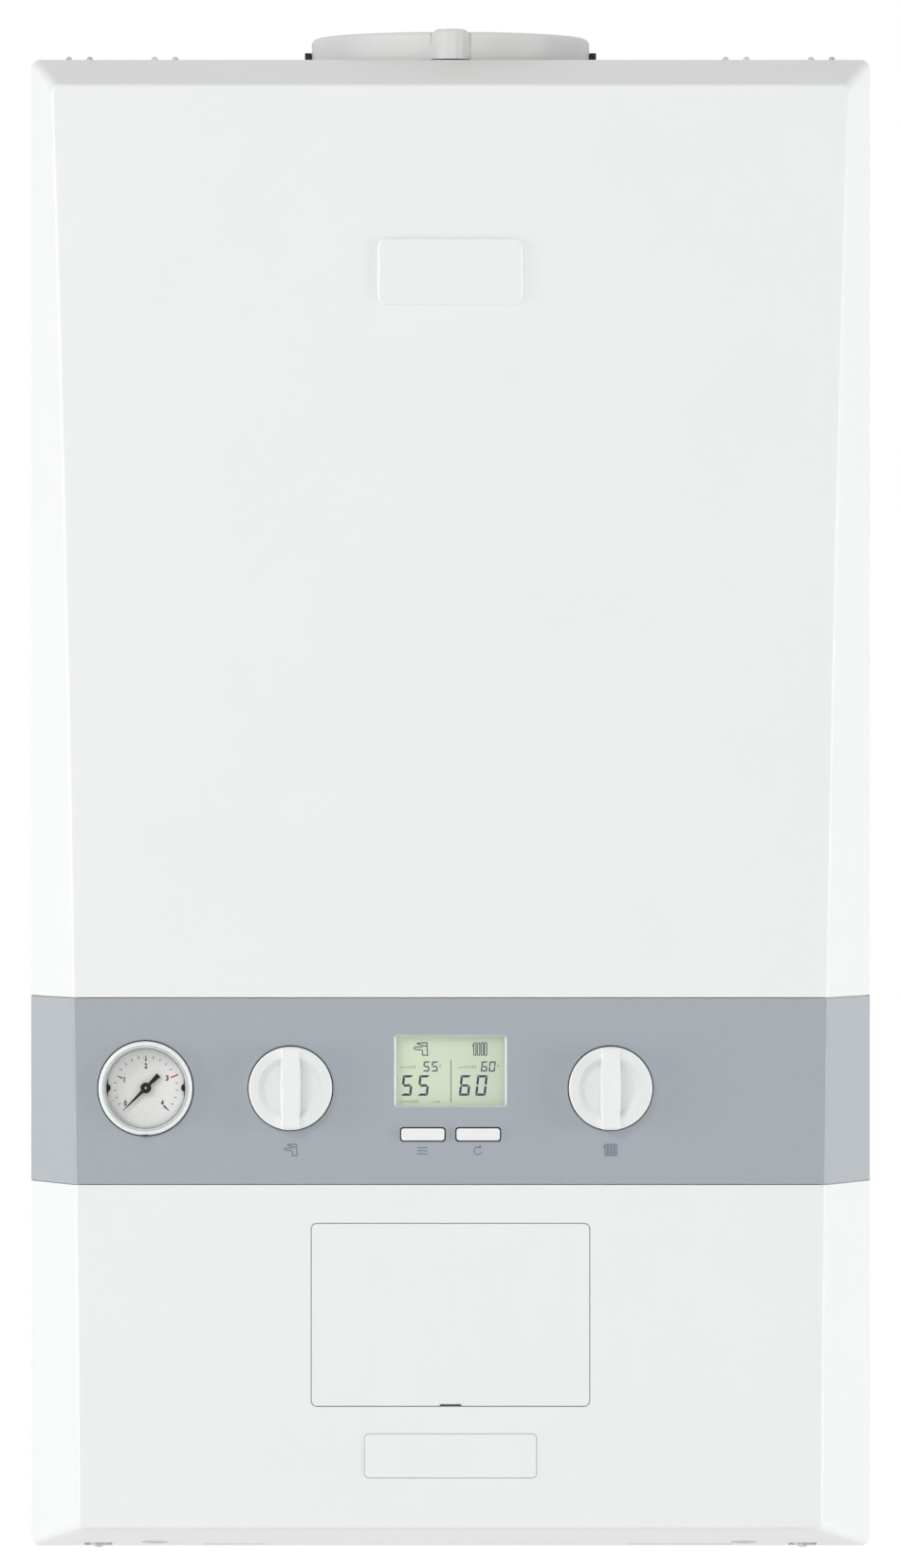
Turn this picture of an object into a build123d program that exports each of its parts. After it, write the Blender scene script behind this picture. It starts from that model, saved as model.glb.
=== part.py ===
from build123d import *
import math
import os

# A wall-hung combination boiler: it heats the radiators and makes hot water from one case.
#
# Everything is drawn in casing coordinates, in millimetres: x across, seen from the front,
# d out from the wall, and h up from the casing's bottom edge.  save() turns them into the
# part's own frame: +Z up, the front towards -Y, and the origin on the wall, in the middle
# of the line through the wall bracket's two fixing holes.

os.makedirs("parts", exist_ok=True)

# ------------------------------------------------------------------ casing and cover
CASE_W = 395.0           # width over the cover
CASE_H = 700.0           # height of the casing
CASE_D = 278.0           # wall to the cover's front face
SHEET = 1.0              # painted steel sheet
PLATE = 1.2              # sheet of the frame and the base
FIT = 0.3                # air between pieces that slide or lift past each other
RUNNING = 0.05           # air round a turning shaft

COVER_SLOPE = 70.0       # depth of the cover's sloping borders
COVER_RETURN = 8.0       # straight edge behind them
SLOPE_TOP = 15.1         # height that the top slope takes
SLOPE_BOTTOM = 11.6      # height that the bottom slope takes
FRONT_W_TOP = 372.0      # width of the front face at its top edge
FRONT_W_MID = 354.6      # half way up the casing
FRONT_W_BOTTOM = 346.2   # at its bottom edge
CORNER_R = 4.2           # corners of the cover, seen from the front
EDGE_R = 1.8             # rounding between the slopes and the front face
COVER_LAP = 6.0          # how far the cover reaches over the panels

PANEL_FLANGE = 13.0      # turned-in edges of the panels
FRAME_STAND = 6.0        # back frame off the wall
FOOT_INSET = 17.5        # the frame's feet, in from the casing's sides
FOOT_W = 30.0

# ------------------------------------------------------------------ control band
BAND_BOTTOM = 172.0      # lower edge of the grey band
BAND_H = 87.5
BAND_GAP = 0.55          # joint line round the band
FASCIA = 2.0             # wall of the band's moulding
CONTROL_H = 217.1        # centre line of the dials
HOLE_EDGE = 0.4          # broken edge of the band's round holes

GAUGE_X = -142.0
GAUGE_BEZEL_R = 21.9
GAUGE_HOLE_GAP = 0.5
DIAL_R = 18.45
DIAL_T = 1.0
GAUGE_WALL = 1.1
GAUGE_DEPTH = 21.0       # gauge case behind its flange
GAUGE_FLANGE = 1.5
DIAL_CLIP_W = 1.5        # bar of the clips that hold the dial, half of it over the dial
BEZEL_T = 6.0
LENS_T = 1.5
LENS_RECESS = 2.0
POINTER_LENGTH = 14.6
POINTER_TAIL = 8.5
POINTER_W = 1.8          # needle, measured at the shaft
POINTER_TIP_W = 0.3
POINTER_NECK_W = 1.0     # tail, measured at the shaft
POINTER_TAIL_W = 2.5
POINTER_T = 0.6
POINTER_HUB_R = 2.5
POINTER_SHAFT_R = 0.75
POINTER_REST = 225.0     # degrees, anticlockwise from three o'clock

KNOB_X = 74.5
KNOB_R = 19.4
KNOB_HOLE_GAP = 0.5
KNOB_PROUD = 4.0         # rim in front of the band
GRIP_PROUD = 8.0         # grip in front of the band
DISH_R = 14.8
DISH_DEPTH = 3.0
DISH_SLOPE = 2.8         # run of the dish's sloping wall
DISH_FOOT_R = 1.6        # rounding at the foot of that wall
GRIP_W = 9.8
GRIP_TOP_W = 6.8
GRIP_END_R = 2.4
KNOB_WALL = 2.0
SPINDLE_R = 3.0
SPINDLE_LENGTH = 14.0

WINDOW_W = 52.6
WINDOW_HEIGHT = 34.1
WINDOW_H = 225.15        # its centre
WINDOW_R = 1.8
LENS_LAP = 2.0           # window lens behind the band
LENS_BACK = 1.0

BUTTON_X = 12.9
BUTTON_BELOW = 21.5      # under the centre line of the dials
BUTTON_W = 20.1
BUTTON_HEIGHT = 5.7
BUTTON_R = 1.3
BUTTON_GAP = 0.6
BUTTON_PROUD = 1.3
BUTTON_TRAVEL = 1.0
BUTTON_STEM_R = 1.8

BOX_HALF = 168.0         # control box
BOX_BOTTOM = 172.0
BOX_TOP = 258.0
BOX_WALL = 2.0
BOX_BEHIND = 3.0         # lid of the box behind the band's back
BOX_D = 57.0
ARM_T = 2.0
ARM_H = 45.0
BOARD_T = 1.6
FRONT_BOARD_SETBACK = 21.0
MAIN_BOARD_STAND = 6.0

# ------------------------------------------------------------------ plates on the cover
TIMER_W = 129.3
TIMER_HEIGHT = 84.8
TIMER_H = 111.6
TIMER_R = 2.5
TIMER_T = 2.0
TIMER_GAP = 0.4
TIMER_DEPTH = 36.0
TIMER_LEDGE = 4.0
TRAY_WALL = 1.5
PRY_W = 10.5
PRY_DEPTH = 1.0

UPPER_PLATE_W = 67.3
UPPER_PLATE_HEIGHT = 30.8
UPPER_PLATE_H = 597.5
UPPER_PLATE_T = 1.5
UPPER_PLATE_R = 4.0
LOWER_PLATE_W = 79.7
LOWER_PLATE_HEIGHT = 20.2
LOWER_PLATE_H = 45.9
LOWER_PLATE_T = 0.5
LOWER_PLATE_R = 1.9

SCREW_INSET = 31.9       # two screws that hold the cover at the bottom, from its sides
SCREW_H = 4.2
SCREW_R = 2.0
SCREW_HEAD_R = 5.0
SCREW_HEAD_T = 2.6
SCREW_LENGTH = 6.0
NOTCH_W = 13.0
NOTCH_H = 2.2
LUG_W = 20.0
LUG_H = 12.0
DRAIN_R = 6.25
DRAIN_X = (-139.0, 137.5)
SLIT_X = (-101.0, 98.0, 117.0)
SLIT_W = 30.0

CLIP_X = (-174.9, -134.6, 134.6, 174.9)
CLIP_PITCH = 9.8
CLIP_R = 1.5
CLIP_BUMP = 1.8          # bumps above the casing's top
SEAL_W = 8.0
SEAL_T = 1.6

# ------------------------------------------------------------------ wall bracket
FIXING_BELOW_TOP = 60.0  # fixing holes below the casing's top
FIXING_SPACING = 300.0
FIXING_R = 4.0
BRACKET_W = 340.0
BRACKET_HEIGHT = 40.0
BRACKET_T = 2.5
HOOK_X = 100.0
HOOK_W = 24.0
HOOK_H = 12.5            # top of the hooks' legs above the fixing holes
HOOK_UP = 11.0
ACCESS_R = 14.0

# ------------------------------------------------------------------ flue
FLUE_D = 128.0           # flue centre off the wall
COLLAR_R = 66.25
COLLAR_TOP = 14.2        # above the casing's top
COLLAR_EDGE_R = 3.0
AIR_SOCKET_R = 50.15     # takes a 100 mm air duct
AIR_SOCKET_DEPTH = 40.0
SOCKET_LEDGE = 2.0       # stop at the socket's bottom
COLLAR_WALL = 2.4
GAS_SOCKET_R = 30.15     # takes a 60 mm flue duct
FLUE_WALL = 1.5
GASKET_R = 69.5
GASKET_TOP = 7.4         # above the casing's top
GASKET_T = 2.0
GASKET_EAR = 36.0        # length of the upstand at either side
GASKET_EAR_FRONT = 6.0   # how far they reach in front of the flue centre
BOSS_W = 18.3
BOSS_FRONT = 72.0        # in front of the flue centre
BOSS_BACK = 58.0
CAP_TOP = 15.4           # sampling cap above the casing's top
CAP_H = 6.4
CAP_GAP = 0.15           # air on each side of the cap
SAMPLE_R = 3.0

# ------------------------------------------------------------------ combustion side
EXCHANGER_X = -70.0
EXCHANGER_BELOW_TOP = 200.0
EXCHANGER_R = 104.0
EXCHANGER_BACK = 84.0
EXCHANGER_D = 94.0
EXCHANGER_WALL = 6.0
SHELF_BELOW = 116.0      # shelf below the exchanger's centre
SHELF_T = 1.5
SHELF_FRONT = 185.0
DOOR_T = 6.0
DOOR_NUT_R = 98.0
NUT_AF = 10.0
NUT_T = 5.0
STUD_R = 3.0
BURNER_R = 35.0
BURNER_LENGTH = 72.0
DUCT_HALF = 25.0         # air duct from the fan to the burner door
DUCT_D = 38.0
DUCT_WALL = 4.0
FAN_X = 118.0
FAN_R = 58.0
FAN_WALL = 3.0
FAN_D = 42.0
IMPELLER_R = 50.0
IMPELLER_BLADES = 12
FAN_SHAFT_R = 2.5
MOTOR_R = 36.0
MOTOR_D = 32.0
MIXER_R = 32.0
MIXER_BORE = 16.0
MIXER_D = 48.0
VALVE_W = 60.0
VALVE_D = 56.0
VALVE_BELOW = 12.0       # gas valve below the shelf
VALVE_H = 72.0
COIL_R = 12.0

# ------------------------------------------------------------------ water side
TAIL_D = 95.0            # pipe tails off the wall
TAIL_PITCH = 65.0
TAIL_END = -5.0          # their ends, just under the casing
HEATING_R = 11.0         # 22 mm heating and gas pipes
WATER_R = 7.5            # 15 mm water pipes
PIPE_WALL = 1.0
TAIL_HOLE_GAP = 8.0
FLOW_R = 9.0             # 18 mm pipes between pump, valve and exchanger
PIPE_D = 130.0
VESSEL_W = 264.0
VESSEL_H = 330.0
VESSEL_T = 62.0
VESSEL_BELOW_TOP = 65.0
VESSEL_R = 45.0
RAIL_T = 4.8
HOSE_R = 5.0
BLOCK_BOTTOM = 20.0
ARM_BOTTOM = 42.0
ARM_TOP = 66.0
STACK_HALF = 85.0        # plate heat exchanger
STACK_BOTTOM = 30.0
STACK_TOP = 105.0
STACK_BACK = 125.0
STACK_PLATES = 10
STACK_PITCH = 3.6
PUMP_X = 128.0
PUMP_H = 105.0
PUMP_R = 42.0
PUMP_BACK = 95.0
PUMP_D = 40.0
PUMP_WALL = 5.0
PUMP_MOTOR_R = 38.0
PUMP_MOTOR_D = 70.0
PUMP_IMPELLER_R = 28.0
PUMP_SHAFT_R = 3.0
DIVERTER_X = -130.0
BLOCK_HALF = 32.0
DIVERTER_TOP = 80.0
STEM_R = 3.0
STEM_TRAVEL = 6.0
RELIEF_INSET = 23.5      # relief valve, in from the left side
RELIEF_H = 52.0
RELIEF_R = 11.0
RELIEF_KNOB_R = 12.0
TRAP_X = -60.0
TRAP_BEHIND = 92.0       # condensate trap, behind the cover's face
TRAP_R = 23.0
TRAP_BOTTOM = 18.0
TRAP_TOP = 152.0
CONDENSATE_R = 10.75     # 21.5 mm condensate outlet
CONDENSATE_END = 0.5
DRAIN_HOSE_R = 8.0
CAPILLARY_R = 1.2

# ------------------------------------------------------------------ worked out from those
FIXING_H = CASE_H - FIXING_BELOW_TOP          # above the casing's bottom, as all heights are
EXCHANGER_H = CASE_H - EXCHANGER_BELOW_TOP
SHELF_H = EXCHANGER_H - SHELF_BELOW
VALVE_TOP = SHELF_H - VALVE_BELOW
VALVE_BOTTOM = VALVE_TOP - VALVE_H
VESSEL_BOTTOM = CASE_H - VESSEL_BELOW_TOP - VESSEL_H
COVER_KINK = CASE_D - COVER_SLOPE             # where the slopes begin
BUTTON_H = CONTROL_H - BUTTON_BELOW
SCREW_X = CASE_W / 2 - SCREW_INSET
RELIEF_X = RELIEF_INSET - CASE_W / 2
TRAP_D = CASE_D - TRAP_BEHIND
COVER_BACK = COVER_KINK - COVER_RETURN
PANEL_FRONT = COVER_BACK + COVER_LAP
SIDE_OUT = CASE_W / 2 - SHEET - FIT           # outer faces of the panels
SIDE_IN = SIDE_OUT - SHEET
TOP_OUT = CASE_H - SHEET - FIT
TOP_IN = TOP_OUT - SHEET
BASE_OUT = SHEET + FIT
BASE_IN = BASE_OUT + PLATE
FRAME_FRONT = FRAME_STAND + PLATE
BAND_TOP = BAND_BOTTOM + BAND_H
FASCIA_BACK = CASE_D - FASCIA
BOX_FRONT = FASCIA_BACK - BOX_BEHIND
LID_BACK = BOX_FRONT - BOX_WALL
BOX_BACK = BOX_FRONT - BOX_D
FRONT_BOARD = LID_BACK - FRONT_BOARD_SETBACK  # front face of the board behind the dials
LUG_BACK = COVER_BACK + 4.5
BASE_FRONT = LUG_BACK - FIT
DOOR_BACK = EXCHANGER_BACK + EXCHANGER_D
DOOR_FRONT = DOOR_BACK + DOOR_T
DUCT_BACK = DOOR_FRONT + 6.0
DUCT_FRONT = DUCT_BACK + DUCT_D
FAN_LEFT = FAN_X - FAN_R - 12.0
FAN_BACK = DUCT_BACK - 2.0
FAN_H = EXCHANGER_H + DUCT_HALF - FAN_R
COLLAR_BOTTOM = TOP_OUT + GASKET_T
COLLAR_TOP_H = CASE_H + COLLAR_TOP
HOOK_LEG = FIXING_H + HOOK_H
VESSEL_BACK = FRAME_FRONT + RAIL_T


# ------------------------------------------------------------------ helpers
def at(d):
    """The plane that looks to the front, d out from the wall."""
    return Plane.XZ.offset(d)


def block(x0, x1, d0, d1, h0, h1):
    """A block between two corners."""
    middle = Pos((x0 + x1) / 2, -(d0 + d1) / 2, (h0 + h1) / 2)
    return middle * Box(x1 - x0, d1 - d0, h1 - h0)


def slab(profile, d0, d1, x=0.0, h=0.0):
    """A flat profile, seen from the front, made solid between two depths."""
    return extrude(at(d0) * Pos(x, h) * profile, d1 - d0)


def rod(r, x, h, d0, d1):
    """A round bar that points to the front."""
    return slab(Circle(r), d0, d1, x, h)


def post(r, x, d, h0, h1):
    """A round bar that stands upright."""
    return extrude(Plane.XY.offset(h0) * Pos(x, -d) * Circle(r), h1 - h0)


def tube(r, bore, x, d, h0, h1):
    """An upright tube."""
    return extrude(Plane.XY.offset(h0) * Pos(x, -d) * (Circle(r) - Circle(bore)), h1 - h0)


def pipe(r, wall, bend, *points):
    """A bent pipe through points given as (x, d, h)."""
    route = FilletPolyline(*[(x, -d, h) for x, d, h in points], radius=bend)
    ring = Circle(r) - Circle(r - wall)
    return sweep(Plane(origin=route @ 0, z_dir=route % 0) * ring, path=route)


def mirrored(shape):
    """The same piece on the other side."""
    return mirror(shape, about=Plane.YZ)


def group(pieces):
    """Separate solids that share one node."""
    return Compound([solid for piece in pieces for solid in piece.solids()])


def save(node, shape):
    """Write one piece, moved to the part's own frame."""
    export_step(Pos(0, 0, -FIXING_H) * shape, f"parts/{node}.step")


# ------------------------------------------------------------------ the cover's form
def front_half(width, inset):
    """Half the front face's width on a form whose walls lie inset inside the cover's."""
    lean = (CASE_W - width) / 2 / COVER_SLOPE
    return width / 2 - inset * (1 - lean)


def rounded(points, r):
    """A closed face through corner points or ready-made edges, its corners rounded."""
    face = make_face(Wire(points)).faces()[0]
    return face.fillet_2d(r, face.vertices())


def cover_form(inset=0.0, behind=0.0):
    """The cover as a full form: a straight return, four slopes and the front face."""
    half = CASE_W / 2 - inset
    low = inset
    high = CASE_H - inset
    face_low = SLOPE_BOTTOM + inset * (1 - SLOPE_BOTTOM / COVER_SLOPE)
    face_high = CASE_H - SLOPE_TOP - inset * (1 - SLOPE_TOP / COVER_SLOPE)
    top = front_half(FRONT_W_TOP, inset)
    mid = front_half(FRONT_W_MID, inset)
    bottom = front_half(FRONT_W_BOTTOM, inset)
    corner = max(CORNER_R - inset, 0.6)
    rear = rounded([
        Line((-half, high), (half, high)),
        Line((half, high), (half, low)),
        Line((half, low), (-half, low)),
        Line((-half, low), (-half, high)),
    ], corner)
    front = rounded([
        Line((-top, face_high), (top, face_high)),
        ThreePointArc((top, face_high), (mid, CASE_H / 2), (bottom, face_low)),
        Line((bottom, face_low), (-bottom, face_low)),
        ThreePointArc((-bottom, face_low), (-mid, CASE_H / 2), (-top, face_high)),
    ], corner)
    front_d = CASE_D - inset
    slopes = loft([at(COVER_KINK) * rear, at(front_d) * front], ruled=True)
    rim = [edge for edge in slopes.edges() if abs(edge.center().Y + front_d) < 0.01]
    slopes = slopes.fillet(max(EDGE_R - inset, 0.4), rim)
    back = COVER_BACK - behind
    return slopes + extrude(at(back) * rear, COVER_KINK - back)


def band_slab(grow, back):
    """All that lies between the band's two edges, in front of a depth."""
    half = CASE_W
    return block(-half, half, back, CASE_D * 2, BAND_BOTTOM - grow, BAND_TOP + grow)


def screw_notch(x):
    """The low notch in the cover's bottom edge under the screw's head."""
    return block(x - NOTCH_W / 2, x + NOTCH_W / 2, COVER_BACK - 1, CASE_D - EDGE_R - SHEET, -1, NOTCH_H)


def screw_lug(x):
    """The lug that stands up inside the cover's bottom edge and takes the screw."""
    lug = block(x - LUG_W / 2, x + LUG_W / 2, LUG_BACK, LUG_BACK + SHEET, 0, LUG_H)
    hole = rod(SCREW_R + RUNNING, x, SCREW_H, LUG_BACK - 1, LUG_BACK + 2 * SHEET)
    return lug - hole


def timer_opening():
    """The outline of the opening that the timer cover fills."""
    gap = TIMER_GAP
    return RectangleRounded(TIMER_W + 2 * gap, TIMER_HEIGHT + 2 * gap, TIMER_R + gap)


def make_front_cover(outer):
    """The painted front cover, with the recess that carries the band."""
    recess = band_slab(0, COVER_KINK) - cover_form(FASCIA)
    inside = cover_form(SHEET, 1) - band_slab(SHEET, COVER_KINK - SHEET)
    behind_band = cover_form(FASCIA + SHEET, 1)
    cover = outer - recess - inside - behind_band
    margin = 6.0
    wide = BOX_HALF - 1
    cover -= block(-wide, wide, BOX_FRONT, CASE_D, BAND_BOTTOM + margin, BAND_TOP - margin)
    cover -= slab(timer_opening(), CASE_D - 2 * SHEET, CASE_D + 1, 0, TIMER_H)
    for x in (-SCREW_X, SCREW_X):
        cover -= screw_notch(x)
        cover += screw_lug(x)
    drain_d = COVER_KINK + COVER_SLOPE * 2.6 / SLOPE_BOTTOM
    for x in DRAIN_X:
        cover -= post(DRAIN_R, x, drain_d, -1, SLOPE_BOTTOM)
    for x in SLIT_X:
        cover -= block(x - SLIT_W / 2, x + SLIT_W / 2, COVER_KINK + 6, COVER_KINK + 8, -1, 6)
    slot = CLIP_PITCH / 2 + CLIP_R + 2
    for x in CLIP_X:
        cover -= block(x - slot, x + slot, COVER_BACK - 1, PANEL_FRONT - 0.8, TOP_IN, CASE_H + 1)
    return cover


def make_control_fascia(outer):
    """The grey moulding that wraps round the front and both slopes."""
    band = (outer - cover_form(FASCIA, 1)) & band_slab(-BAND_GAP, COVER_KINK + FIT)
    through = (FASCIA_BACK - 1, CASE_D + 1)
    band -= rod(GAUGE_BEZEL_R + GAUGE_HOLE_GAP, GAUGE_X, CONTROL_H, *through)
    for x in (-KNOB_X, KNOB_X):
        band -= rod(KNOB_R + KNOB_HOLE_GAP, x, CONTROL_H, *through)
    rims = [e for e in band.edges() if e.geom_type == GeomType.CIRCLE and e.radius > DIAL_R]
    rims = [e for e in rims if abs(e.center().Y + CASE_D) < 0.01]
    band = band.chamfer(HOLE_EDGE, None, rims)
    band -= slab(RectangleRounded(WINDOW_W, WINDOW_HEIGHT, WINDOW_R), *through, 0, WINDOW_H)
    hole = RectangleRounded(BUTTON_W + 2 * BUTTON_GAP, BUTTON_HEIGHT + 2 * BUTTON_GAP, BUTTON_R + 0.3)
    for x in (-BUTTON_X, BUTTON_X):
        band -= slab(hole, *through, x, BUTTON_H)
    return band


def make_display_window():
    """The clear lens glued behind the band, its front just inside the opening."""
    front = RectangleRounded(WINDOW_W - 0.2, WINDOW_HEIGHT - 0.2, WINDOW_R)
    back = RectangleRounded(WINDOW_W + 2 * LENS_LAP, WINDOW_HEIGHT + LENS_LAP, WINDOW_R)
    lens = slab(front, FASCIA_BACK, CASE_D - 0.8, 0, WINDOW_H)
    return lens + slab(back, FASCIA_BACK - LENS_BACK, FASCIA_BACK, 0, WINDOW_H)


def raised_plate(width, height, r, h, t, edge):
    """A plate on the cover's front face."""
    plate = slab(RectangleRounded(width, height, r), CASE_D, CASE_D + t, 0, h)
    rim = [e for e in plate.edges() if abs(e.center().Y + CASE_D + t) < 0.01]
    return plate.fillet(edge, rim)


def make_timer_tray():
    """The tray behind the timer cover, where a plug-in timer would sit."""
    sheet_back = CASE_D - SHEET
    flange_back = sheet_back - TIMER_T
    room_w = TIMER_W - 2 * TIMER_LEDGE
    room_h = TIMER_HEIGHT - 2 * TIMER_LEDGE
    flange = RectangleRounded(TIMER_W + 14, TIMER_HEIGHT + 14, 6)
    walls = RectangleRounded(room_w + 2 * TRAY_WALL, room_h + 2 * TRAY_WALL, 4)
    tray = slab(flange, flange_back, sheet_back, 0, TIMER_H)
    tray += slab(walls, CASE_D - TIMER_DEPTH, flange_back, 0, TIMER_H)
    tray -= slab(timer_opening(), CASE_D - TIMER_T, CASE_D, 0, TIMER_H)
    room = RectangleRounded(room_w, room_h, 4 - TRAY_WALL)
    return tray - slab(room, CASE_D - TIMER_DEPTH + TRAY_WALL, CASE_D, 0, TIMER_H)


def make_timer_cover():
    """The snap-in blank, flush with the cover, with a notch to lift it by."""
    back = CASE_D - TIMER_T
    plate = slab(RectangleRounded(TIMER_W, TIMER_HEIGHT, TIMER_R), back, CASE_D, 0, TIMER_H)
    edge = TIMER_H - TIMER_HEIGHT / 2
    plate -= block(-PRY_W / 2, PRY_W / 2, CASE_D - 1, CASE_D + 1, edge - 1, edge + PRY_DEPTH)
    wall = TIMER_W / 2 - TIMER_LEDGE - FIT
    leg = block(wall - TRAY_WALL, wall, back - 14, back, TIMER_H - 6, TIMER_H + 6)
    return plate + leg + mirrored(leg)


def make_cover_screw(x):
    """A pan-head screw with a cross recess, its axis to the front."""
    seat = LUG_BACK + SHEET
    screw = rod(SCREW_R, x, SCREW_H, seat - SCREW_LENGTH, seat)
    head = rod(SCREW_HEAD_R, x, SCREW_H, seat, seat + SCREW_HEAD_T)
    rim = [e for e in head.edges() if abs(e.center().Y + seat + SCREW_HEAD_T) < 0.01]
    screw += head.fillet(1.2, rim)
    slot = Rectangle(4.6, 1.1) + Rectangle(1.1, 4.6)
    return screw - slab(slot, seat + SCREW_HEAD_T - 1.4, seat + SCREW_HEAD_T + 1, x, SCREW_H)


outer_form = cover_form()
save("front_cover", make_front_cover(outer_form))
save("control_fascia", make_control_fascia(outer_form))
save("display_window", make_display_window())
save("blank_plates", group([
    raised_plate(UPPER_PLATE_W, UPPER_PLATE_HEIGHT, UPPER_PLATE_R, UPPER_PLATE_H, UPPER_PLATE_T, 0.9),
    raised_plate(LOWER_PLATE_W, LOWER_PLATE_HEIGHT, LOWER_PLATE_R, LOWER_PLATE_H, LOWER_PLATE_T, 0.25),
]))
save("timer_tray", make_timer_tray())
save("timer_cover", make_timer_cover())
save("cover_screws", group([make_cover_screw(x) for x in (-SCREW_X, SCREW_X)]))


# ------------------------------------------------------------------ casing
def under_cover(panel):
    """A panel, trimmed to the cover's rounded inside corners where the cover laps over it."""
    lap = block(-CASE_W, CASE_W, COVER_BACK - FIT, CASE_D, -CASE_H, 2 * CASE_H)
    return panel - (lap - cover_form(SHEET + FIT, 2 * SHEET))


def make_wall_bracket():
    """The hanging bracket: a strip with two fixing holes and two upturned hooks."""
    low = FIXING_H - BRACKET_HEIGHT / 2
    strip = block(-BRACKET_W / 2, BRACKET_W / 2, 0, BRACKET_T, low, low + BRACKET_HEIGHT)
    up_back = FRAME_FRONT + FIT
    up_front = up_back + BRACKET_T
    for x in (-HOOK_X, HOOK_X):
        side = (x - HOOK_W / 2, x + HOOK_W / 2)
        strip += block(*side, BRACKET_T, up_front, HOOK_LEG - BRACKET_T, HOOK_LEG)
        strip += block(*side, up_back, up_front, HOOK_LEG, HOOK_LEG + HOOK_UP)
    for x in (-FIXING_SPACING / 2, FIXING_SPACING / 2):
        strip -= rod(FIXING_R, x, FIXING_H, -1, BRACKET_T + 1)
    return strip


def make_back_frame():
    """The steel back: it hangs on the hooks, stands on two pressed feet and carries rails."""
    frame = block(-SIDE_OUT, SIDE_OUT, FRAME_STAND, FRAME_FRONT, BASE_OUT, TOP_OUT)
    for x in (-HOOK_X, HOOK_X):
        half = HOOK_W / 2 + 4
        frame -= block(x - half, x + half, 0, FRAME_FRONT + 1, HOOK_LEG - 20, HOOK_LEG)
    for x in (-FIXING_SPACING / 2, FIXING_SPACING / 2):
        frame -= rod(ACCESS_R, x, FIXING_H, 0, FRAME_FRONT + 1)
    foot_out = CASE_W / 2 - FOOT_INSET
    foot = block(foot_out - FOOT_W, foot_out, 0, FRAME_STAND, 20, 60)
    frame += foot
    frame += mirrored(foot)
    rail_half = VESSEL_W / 2 - 12
    for h in (VESSEL_BOTTOM + 45, VESSEL_BOTTOM + VESSEL_H - 65):
        frame += block(-rail_half, rail_half, FRAME_FRONT, VESSEL_BACK, h, h + 20)
    return frame


def make_side_panel():
    """The right side panel, its edges turned in."""
    panel = block(SIDE_IN, SIDE_OUT, FRAME_FRONT, PANEL_FRONT, BASE_IN, TOP_IN)
    inner = SIDE_OUT - PANEL_FLANGE
    panel += block(inner, SIDE_OUT, FRAME_FRONT, FRAME_FRONT + SHEET, BASE_IN, TOP_IN)
    panel += block(inner, SIDE_OUT, PANEL_FRONT - SHEET, PANEL_FRONT, BASE_IN, TOP_IN)
    return panel


def make_top_panel():
    """The top, with the flue opening and a flange that stiffens its front edge."""
    panel = block(-SIDE_OUT, SIDE_OUT, FRAME_FRONT, PANEL_FRONT, TOP_IN, TOP_OUT)
    half = SIDE_OUT - PANEL_FLANGE - FIT
    panel += block(-half, half, PANEL_FRONT - SHEET, PANEL_FRONT, TOP_IN - PANEL_FLANGE, TOP_IN)
    return panel - post(AIR_SOCKET_R + COLLAR_WALL + 2, 0, FLUE_D, TOP_IN - 1, TOP_OUT + 1)


def tail_places():
    """Each pipe tail under the casing: x, d and its radius."""
    return [
        (-2 * TAIL_PITCH, TAIL_D, HEATING_R),
        (-TAIL_PITCH, TAIL_D, WATER_R),
        (0, TAIL_D, HEATING_R),
        (TAIL_PITCH, TAIL_D, WATER_R),
        (2 * TAIL_PITCH, TAIL_D, HEATING_R),
        (RELIEF_X, TAIL_D + 9, WATER_R),
        (TRAP_X, TRAP_D, CONDENSATE_R),
    ]


def make_base_plate():
    """The base, with a hole round each pipe tail and an upturned front flange."""
    plate = block(-SIDE_OUT, SIDE_OUT, FRAME_FRONT, BASE_FRONT, BASE_OUT, BASE_IN)
    half = SIDE_OUT - PANEL_FLANGE - FIT
    plate += block(-half, half, BASE_FRONT - PLATE, BASE_FRONT, BASE_IN, BASE_IN + PANEL_FLANGE)
    for x, d, r in tail_places():
        room = min(TAIL_HOLE_GAP, BASE_FRONT - PLATE - FIT - d - r)
        plate -= post(r + room, x, d, 0, BASE_IN + 1)
    for x in (-SCREW_X, SCREW_X):
        plate -= rod(SCREW_R + FIT, x, SCREW_H, BASE_FRONT - PLATE - 1, BASE_FRONT + 1)
        half_slot = SCREW_R + FIT
        plate -= block(x - half_slot, x + half_slot, LUG_BACK - SCREW_LENGTH, BASE_FRONT + 1, 0, SCREW_H)
    return plate


def make_cover_seal():
    """The foam strip on the panels' front edges."""
    out = CASE_W / 2 - SHEET - FASCIA - FIT
    low = BASE_IN + 6
    top = TOP_IN - 2
    seal = block(-out, out, PANEL_FRONT, PANEL_FRONT + SEAL_T, low, top)
    gap = out - SEAL_W
    return seal - block(-gap, gap, 0, CASE_D, 0, top - SEAL_W)


def make_cover_clip(x):
    """A bent clip on the top panel: its two rounded legs stand in the cover's slot."""
    strip_t = 0.8
    half = CLIP_PITCH / 2 + CLIP_R + 1
    clip = block(x - half, x + half, COVER_BACK - 10, PANEL_FRONT - 1.2, TOP_OUT, TOP_OUT + strip_t)
    crown = CASE_H + CLIP_BUMP - CLIP_R
    for side in (-CLIP_PITCH / 2, CLIP_PITCH / 2):
        clip += post(CLIP_R, x + side, COVER_BACK + 2.4, TOP_OUT, crown)
        clip += Pos(x + side, -(COVER_BACK + 2.4), crown) * Sphere(CLIP_R)
    return clip


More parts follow.
